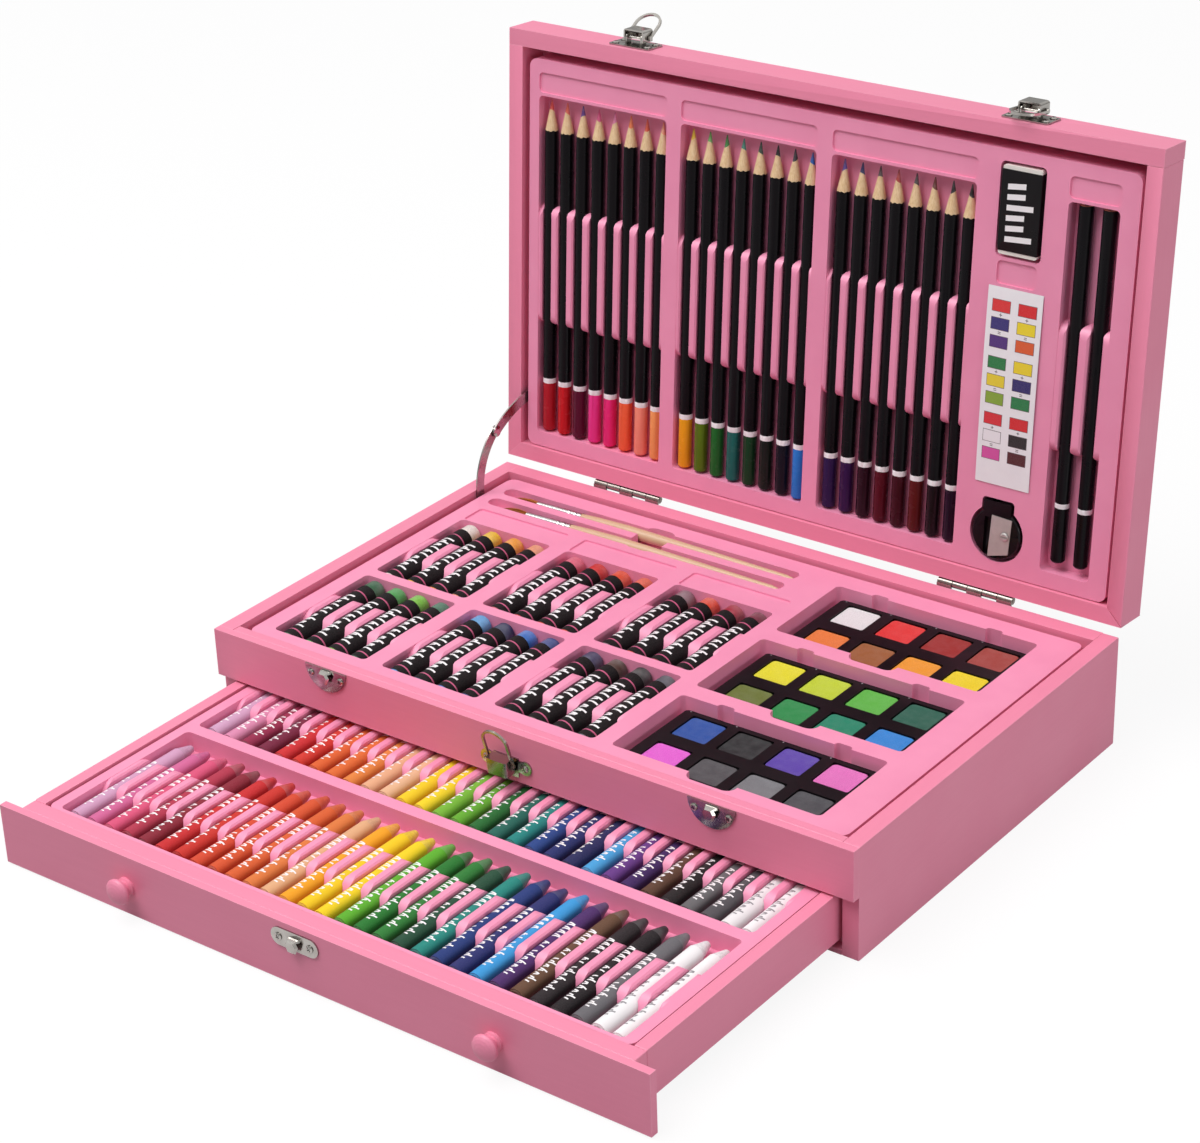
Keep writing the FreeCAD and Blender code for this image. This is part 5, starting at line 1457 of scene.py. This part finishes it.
@dataclass
class Palettes:
    """Three black palettes, each with eight square cakes of paint.

    Attributes:
        centre: The middle of the front palette, along X and from the case's front.
        pitch: The distance between palettes.
        cake: A cake's width.
        cake_corner: The radius of its corners.
        cake_pitch: The distances between cakes.
        cake_top: The height of a cake's rim.
        cake_layers: How far its outlines are inset, and their heights from the rim: pressing
            leaves a raised rim round a shallow dish.
        cake_dip: How much lower its middle is than its last outline.
        stud: The width of a moulded stud.
        stud_layers: How far a stud's outlines are inset, and their heights from the frame.
        stud_spread: How far apart the two rows of studs are, as a share of the cakes' rows.
        grey: The studs, far paler than the black frames, as painted glints.
        plastic: The palettes.
        tints: The cakes' colours, palette by palette from the front.
    """

    centre: tuple[float, float] = (100.55, 46.95)
    pitch: float = 66.5
    cake: float = 19.3
    cake_corner: float = 2.6
    cake_pitch: tuple[float, float] = (25.7, 28.0)
    cake_top: float = 49.45
    cake_layers: tuple[tuple[float, float], ...] = ((0, -2.0), (0, -0.55), (0.35, -0.15),
                                                    (0.8, -0.05), (1.4, -0.3), (4.0, -0.4))
    cake_dip: float = 0.12
    stud: float = 0.9
    stud_layers: tuple[tuple[float, float], ...] = ((0, -0.1), (0.05, 0.05), (0.2, 0.14))
    stud_spread: float = 1.85
    grey: str = "#8E878C"
    plastic: MouldedPlastic = MouldedPlastic("black_polypropylene", "#0A070A", "#151115",
                                             (0.3, 0.45))
    tints: tuple[tuple[str, ...], ...] = (
        ("#E45FD0", "#4C484C", "#77767A", "#46454A", "#1E4C9E", "#17171A", "#5A3FA6", "#E673C0"),
        ("#66702A", "#1E8A45", "#128263", "#2E86D6", "#E5DC26", "#C2D331", "#5DB544", "#1C5E4B"),
        ("#EA7A34", "#9C5A2C", "#F09A28", "#F2D81E", "#E9E4E6", "#E33030", "#9C2420", "#A5443C"))

    def press(self) -> None:
        """Presses the cakes."""
        powder = Pigment("pressed_watercolour", 0.7, 0.5, 0.06, 0.025)
        cakes = Shell("paint_cakes", [powder.material()])
        for palette, tints in enumerate(self.tints):
            y0 = CASE_FRONT + self.centre[1] + palette * self.pitch
            for i, tint in enumerate(tints):
                x = self.centre[0] + (i % 4 - 1.5) * self.cake_pitch[0]
                y = y0 + (i // 4 - 0.5) * self.cake_pitch[1]
                cakes.pad(self.cake_layers, (self.cake, self.cake), self.cake_corner,
                          at(x, y, self.cake_top), linear(tint), 0, dome=-self.cake_dip)
        cakes.make(Body.BASE, "paint_cake", "paint_pans", crease=60)

    def stud_frames(self) -> None:
        """Adds the frames' moulded studs, whose pale grey is a painted glint."""
        # Painted glint: the studs stand for small moulded bumps, and their grey, far paler than the
        # black frame, paints the speck of light that each catches.
        smooth = MouldedPlastic("stud_with_painted_glint", self.grey, "#B5AEB2", (0.2, 0.3))
        studs = Shell("palette_studs", [smooth.material()])
        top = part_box("palette_frames")[1].z / MM
        for palette in range(len(self.tints)):
            y0 = CASE_FRONT + self.centre[1] + palette * self.pitch
            for i in range(5):
                for j in range(2):
                    x = self.centre[0] + (i - 2) * self.cake_pitch[0]
                    y = y0 + (j - 0.5) * self.cake_pitch[1] * self.stud_spread
                    studs.pad(self.stud_layers, (self.stud, self.stud), self.stud / 2,
                              at(x, y, top), linear(self.grey), 0, dome=0.03)
        studs.make(Body.BASE, "palette_plastic")

    def build(self) -> None:
        """Dresses the frames, presses the cakes and adds the studs."""
        dress("palette_frames", self.plastic.material())
        self.press()
        self.stud_frames()


@dataclass
class Brushes:
    """Two brushes: turned handles, crimped ferrules and tufts of hair.

    Attributes:
        rows: Where each brush lies from the case's front, and where its tip is along X.
        bristle: The tuft's length.
        uneven: How much shorter the shortest hair is.
        hairs: How many hairs are in a tuft.
        bends: For the points along a hair, from root to tip: their share of its length, the
            tuft's radius there and the hair's own radius.
        faces: The angles of a hair's three edges.
        brown: The hairs.
        birch: The handles.
        aluminium: The ferrules.
    """

    rows: tuple[tuple[float, float], ...] = ((206.5, -160.0), (193.0, -157.0))
    bristle: float = 16.0
    uneven: float = 2.6
    hairs: int = 90
    bends: tuple[tuple[float, float, float], ...] = ((1.0, 1.7, 0.16), (0.6, 2.2, 0.17),
                                                     (0.25, 1.5, 0.13), (0.0, 0.25, 0.03))
    faces: tuple[float, ...] = (0.5, 2.6, 4.7)
    brown: str = "#CC7A33"
    birch: CutWood = CutWood("lacquered_birch", "#DDB594", "#B58A68", 0.35)
    aluminium: Nickel = Nickel("drawn_aluminium", colour="#DAD9D8", wave=1.2)

    def grow(self, hair: Shell, place: Matrix, draw: random.Random) -> None:
        """Adds one hair.

        Args:
            hair: The tufts.
            place: Where the tuft's tip is, with its Y axis towards the ferrule.
            draw: The source of its place in the tuft and its length.
        """
        angle, spread = draw.uniform(0, math.tau), math.sqrt(draw.random())
        short = draw.uniform(0.0, self.uneven) * spread
        loops = []
        for part, swell, thick in self.bends:
            along = short + (self.bristle - short) * part
            cx, cz = swell * spread * math.cos(angle), swell * spread * math.sin(angle)
            spots = [(cx + thick * math.cos(a), along, cz + thick * math.sin(a))
                     for a in self.faces]
            loops.append((hair.points(spots, place, linear(self.brown)), len(spots)))
        hair.loops(loops, [0] * (len(loops) - 1))

    def build(self) -> None:
        """Dresses the handles and the ferrules, and makes the tufts."""
        low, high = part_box("brush_ferrules")
        dress("brush_handles", self.birch.material())
        dress("brush_ferrules", self.aluminium.material())
        hair = Shell("brush_tufts", [Hair().material()])
        draw = random.Random(31)
        centre = (low.z + high.z) / 2 / MM
        for y, tip in self.rows:
            place = at(tip, CASE_FRONT + y, centre) @ Matrix.Rotation(math.radians(-90), 4, "Z")
            for _ in range(self.hairs):
                self.grow(hair, place, draw)
        hair.make(Body.BASE, "bristle", "brush_bristles", crease=80)


# What the drawer holds


@dataclass
class Crayons:
    """Two rows of thirty wrapped crayons.

    Attributes:
        radius: A wrapped crayon's radius.
        length: A crayon's length.
        cone: The length of its bare end.
        pitch: The distance between neighbours.
        pocket_starts: How far each row's pocket is from the drawer's front.
        pocket_depth: How long a pocket is.
        bed: The height that the crayons lie on.
        slack: How far a crayon slips along its pocket.
        roll: How far a crayon is rolled round its axis at the most, in degrees.
        sides: How many faces run round a crayon.
        white: The print.
        grey: The print on white crayons.
        marks: The bars of the print.
        front: The colours of the front row.
        back: The colours of the back row.
    """

    radius: float = 4.1
    length: float = 78.0
    cone: float = 9.0
    pitch: float = 10.72
    pocket_starts: tuple[float, float] = (15.2, 107.2)
    pocket_depth: float = 85.1
    bed: float = 20.5
    slack: float = 0.8
    roll: float = 14.0
    sides: int = 32
    white: str = "#F4F0F1"
    grey: str = "#8C8A8E"
    marks: Print = Print(
        (0.6, 1.0, 0.6, 0.55, 0.6, 0.6, 1.0, 0.6, 0.55, 1.0, 0.6, 0.6, 0.0, 0.0, 0.7, 0.5, 0.7,
         0.0, 0.0, 0.9, 0.85, 0.9, 0.85, 0.9, 0.85, 0.9, 0.85),
        first=8.0, pitch=1.75, width=0.85, leans=(-0.4, 0.8), tall=54.0, above=0.03)
    front: tuple[str, ...] = (
        "#CD9BBB", "#CD6595", "#D65379", "#AE334B", "#862233", "#C4292C", "#C53026", "#CF472A",
        "#D2522A", "#D45D2C", "#D9773A", "#DEA97E", "#EDA01B", "#EDC618", "#EECD1A", "#58A927",
        "#1B7329", "#267831", "#194A34", "#1A8479", "#1C3775", "#242D68", "#3696D4", "#482764",
        "#624532", "#211D20", "#171619", "#666569", "#EFEDEE", "#F2F0F0")
    back: tuple[str, ...] = (
        "#CCA0BF", "#D689AC", "#91284A", "#73203D", "#C82C30", "#CC3428", "#D8602C", "#DA6A30",
        "#DE823C", "#E2AA84", "#E3B48E", "#EDCA1E", "#EED121", "#74B335", "#5FA62C", "#19682C",
        "#196457", "#17827C", "#204384", "#1D2C66", "#1D2555", "#449DD4", "#623682", "#3A205B",
        "#583C2C", "#181718", "#646466", "#4F4F53", "#E9E7E8", "#EFEDEE")

    def rings(self) -> list[Ring]:
        """Lists the rings of a crayon.

        Returns:
            The rings, from its wrapped front end to its blunt cone.
        """
        paper, wax = range(2)
        r, end = self.radius, self.length
        body = end - self.cone
        return [Ring(0, 0, wax), Ring(0, r - 0.9, wax), Ring(0.35, r - 0.45, wax),
                Ring(0.35, r, paper), Ring(body, r, paper, ragged=0.03), Ring(body, r - 0.3, wax),
                Ring(body + 1.2, r - 0.35, wax), Ring(end - 1.0, 1.95, wax),
                Ring(end - 0.3, 1.7, wax), Ring(end, 1.2, wax), Ring(end, 0, wax)]

    def build(self) -> None:
        """Turns the crayons and prints their wrappers."""
        finishes = [WrapPaper("tinted_crayon_paper", None).material(),
                    Pigment("crayon_wax", 0.42, 1.1, 0.05, 0.08).material(),
                    Ink("crayon_print_ink").material()]
        draw = random.Random(41)
        for start, tints, node in zip(self.pocket_starts, (self.front, self.back),
                                      ("crayons_front", "crayons_back")):
            shell = Shell(f"{node}_row", finishes)
            y = DRAWER_FRONT + start + (self.pocket_depth - self.length) / 2
            for i, tint in enumerate(tints):
                x = (i - (len(tints) - 1) / 2) * self.pitch
                slip = draw.uniform(-self.slack, self.slack)
                roll = math.radians(draw.uniform(-self.roll, self.roll))
                place = at(x, y + slip, self.bed + self.radius) @ Matrix.Rotation(roll, 4, "Y")
                shell.turn(self.rings(), place, linear(tint), linear(tint), self.sides, draw)
                # The last two crayons of a row are white.
                ink = self.grey if i >= len(tints) - 2 else self.white
                self.marks.stamp(shell, self.radius, place, linear(ink), 2)
            shell.make(Body.DRAWER, "crayon_wax", node)


# Camera, lights and floor


@dataclass(frozen=True)
class SoftBox:
    """A lamp with a wide, even face. Its lengths are in metres.

    Attributes:
        name: Its name.
        spot: Where it is.
        size: The width and height of its face.
        watts: Its power.
        target: The point that it faces.
    """

    name: str
    spot: tuple[float, float, float]
    size: tuple[float, float]
    watts: float
    target: tuple[float, float, float] = (0.0, -0.05, 0.1)

    def hang(self) -> None:
        """Adds the lamp to the scene."""
        data = bpy.data.lights.new(self.name, "AREA")
        data.shape = "RECTANGLE"
        data.size, data.size_y = self.size
        data.energy = self.watts
        lamp = bpy.data.objects.new(self.name, data)
        lamp.location = self.spot
        way = Vector(self.target) - Vector(self.spot)
        lamp.rotation_euler = way.to_track_quat("-Z", "Y").to_euler()
        bpy.context.scene.collection.objects.link(lamp)


@dataclass
class Studio:
    """A white floor under soft lights, and the camera.

    Attributes:
        eye: Where the camera is.
        right: The direction across its view, from left to right.
        down: The direction down its view.
        ahead: The direction that it looks in.
        focal_px: The focal length in pixels.
        view_px: The view's width and height in pixels.
        centre_px: The pixel that the camera looks at.
        sensor: The sensor's width.
        clip: The nearest and farthest distance that shows, in metres.
        room: The world's strength near the horizon and high up.
        horizon: How high a direction rises where those two strengths begin and end.
        mirrored: How much brighter the world is in a mirror.
        backdrop: How much of the floor's look is plain white for the camera, and in a mirror.
        white: The strength of that white. It is over 1 because the rest of the floor's look is
            darker, and so that the floor is white where no shadow falls.
        floor_grey: The floor. It is grey so that it throws little light on the case's sides.
        reach: How far the floor runs each way, in metres.
        sunk: How far the floor lies under the case, so that the two don't share a plane.
        lamps: The lamps.
    """

    eye: tuple[float, float, float] = (777.382, -1051.671, 748.158)
    right: tuple[float, float, float] = (0.7883221, 0.6137647, -0.0429090)
    down: tuple[float, float, float] = (0.2611021, -0.3968791, -0.8799504)
    ahead: tuple[float, float, float] = (-0.5571122, 0.6824807, -0.4731238)
    focal_px: float = 3065.0
    view_px: tuple[float, float] = (1200.0, 1143.0)
    centre_px: tuple[float, float] = (530.0, 660.0)
    sensor: float = 36.0
    clip: tuple[float, float] = (0.05, 30.0)
    room: tuple[float, float] = (0.03, 0.5)
    horizon: tuple[float, float] = (0.0, 0.8)
    mirrored: float = 0.26
    backdrop: tuple[float, float] = (0.75, 0.35)
    white: float = 1.2
    floor_grey: str = "#A3A2A3"
    reach: float = 6.0
    sunk: float = 0.2
    lamps: tuple[SoftBox, ...] = (
        SoftBox("overhead", (-0.55, -0.75, 2.1), (2.0, 1.4), 48.0),
        SoftBox("right_fill", (1.3, 0.0, 0.35), (0.8, 0.4), 3.8, (0.18, 0.0, 0.03)))

    def camera(self) -> None:
        """Makes the camera and sets it as the scene's."""
        width, height = self.view_px
        data = bpy.data.cameras.new("camera")
        data.sensor_width = self.sensor
        data.lens = self.focal_px / width * data.sensor_width
        data.shift_x = -(self.centre_px[0] - width / 2) / width
        data.shift_y = (self.centre_px[1] - height / 2) / width
        data.clip_start, data.clip_end = self.clip
        camera = bpy.data.objects.new("camera", data)
        axes = [Vector(self.right), -Vector(self.down), -Vector(self.ahead)]
        turn = Matrix([[axes[column][row] for column in range(3)] for row in range(3)])
        camera.matrix_world = at(*self.eye) @ turn.to_4x4()
        bpy.context.scene.collection.objects.link(camera)
        bpy.context.scene.camera = camera

    def world(self) -> None:
        """Lights the scene with a room that is dim low down and that the camera sees as white."""
        world = bpy.data.worlds.new("white_room")
        world.use_nodes = True
        bpy.context.scene.world = world
        room = Nodes(world.node_tree)
        low, high = self.horizon
        dim, bright = self.room
        towards = room.add("TexCoord", out="Generated")
        rise = room.add("SeparateXYZ", {0: towards}, "Z")
        level = room.add("MapRange", {"Value": rise, 1: low, 2: high, 3: dim, 4: bright},
                         interpolation_type="SMOOTHSTEP")
        mirror = room.add("LightPath", out="Is Glossy Ray")
        lit = room.add("Math", {0: mirror, 1: self.mirrored, 2: level}, operation="MULTIPLY_ADD")
        direct = room.add("LightPath", out="Is Camera Ray")
        strength = room.add("Mix", {0: direct, 2: lit, 3: 1.0})
        room.feed(room.tree.nodes["Background"], {"Color": linear("#FFFFFF"),
                                                  "Strength": strength})

    def floor(self) -> None:
        """Lays a white floor that shows as the background but keeps the case's shadow."""
        made = Shading("white_floor", Base_Color=linear(self.floor_grey), Roughness=0.9)
        direct, mirrored = self.backdrop
        glow = made.add("Emission", {"Color": linear("#FFFFFF"), "Strength": self.white})
        mirror = made.add("LightPath", out="Is Glossy Ray")
        shine = made.add("Math", {0: mirror, 1: mirrored}, operation="MULTIPLY")
        seen = made.add("LightPath", out="Is Camera Ray")
        share = made.add("Math", {0: seen, 1: direct, 2: shine}, operation="MULTIPLY_ADD")
        mixed = made.add("MixShader", {0: share, 1: made.shader.outputs[0], 2: glow})
        made.feed(made.tree.nodes["Material Output"], {"Surface": mixed})
        mesh = bpy.data.meshes.new("floor")
        corners = [(x * self.reach, y * self.reach, 0) for x, y in ((-1, -1), (1, -1), (1, 1),
                                                                    (-1, 1))]
        mesh.from_pydata(corners, [], [(0, 1, 2, 3)])
        mesh.materials.append(made.material)
        floor = bpy.data.objects.new("floor", mesh)
        floor.location.z = -self.sunk * MM
        bpy.context.scene.collection.objects.link(floor)

    def build(self) -> None:
        """Sets up the camera, the lights and the floor."""
        bpy.context.scene.view_settings.view_transform = "Standard"
        self.camera()
        self.world()
        self.floor()
        for lamp in self.lamps:
            lamp.hang()


def main() -> None:
    """Builds every part of the scene in order."""
    logging.basicConfig(level=logging.INFO, format="%(name)s: %(message)s")
    for part in (Studio(), Woodwork(), Trays(), Hardware(), ColourPencils(), SketchPencils(),
                 MixingCard(), EraserAndSharpener(), Pastels(), Palettes(), Brushes(), Crayons()):
        part.build()
        LOG.info("%s done", type(part).__name__)


if __name__ == "__main__":
    main()
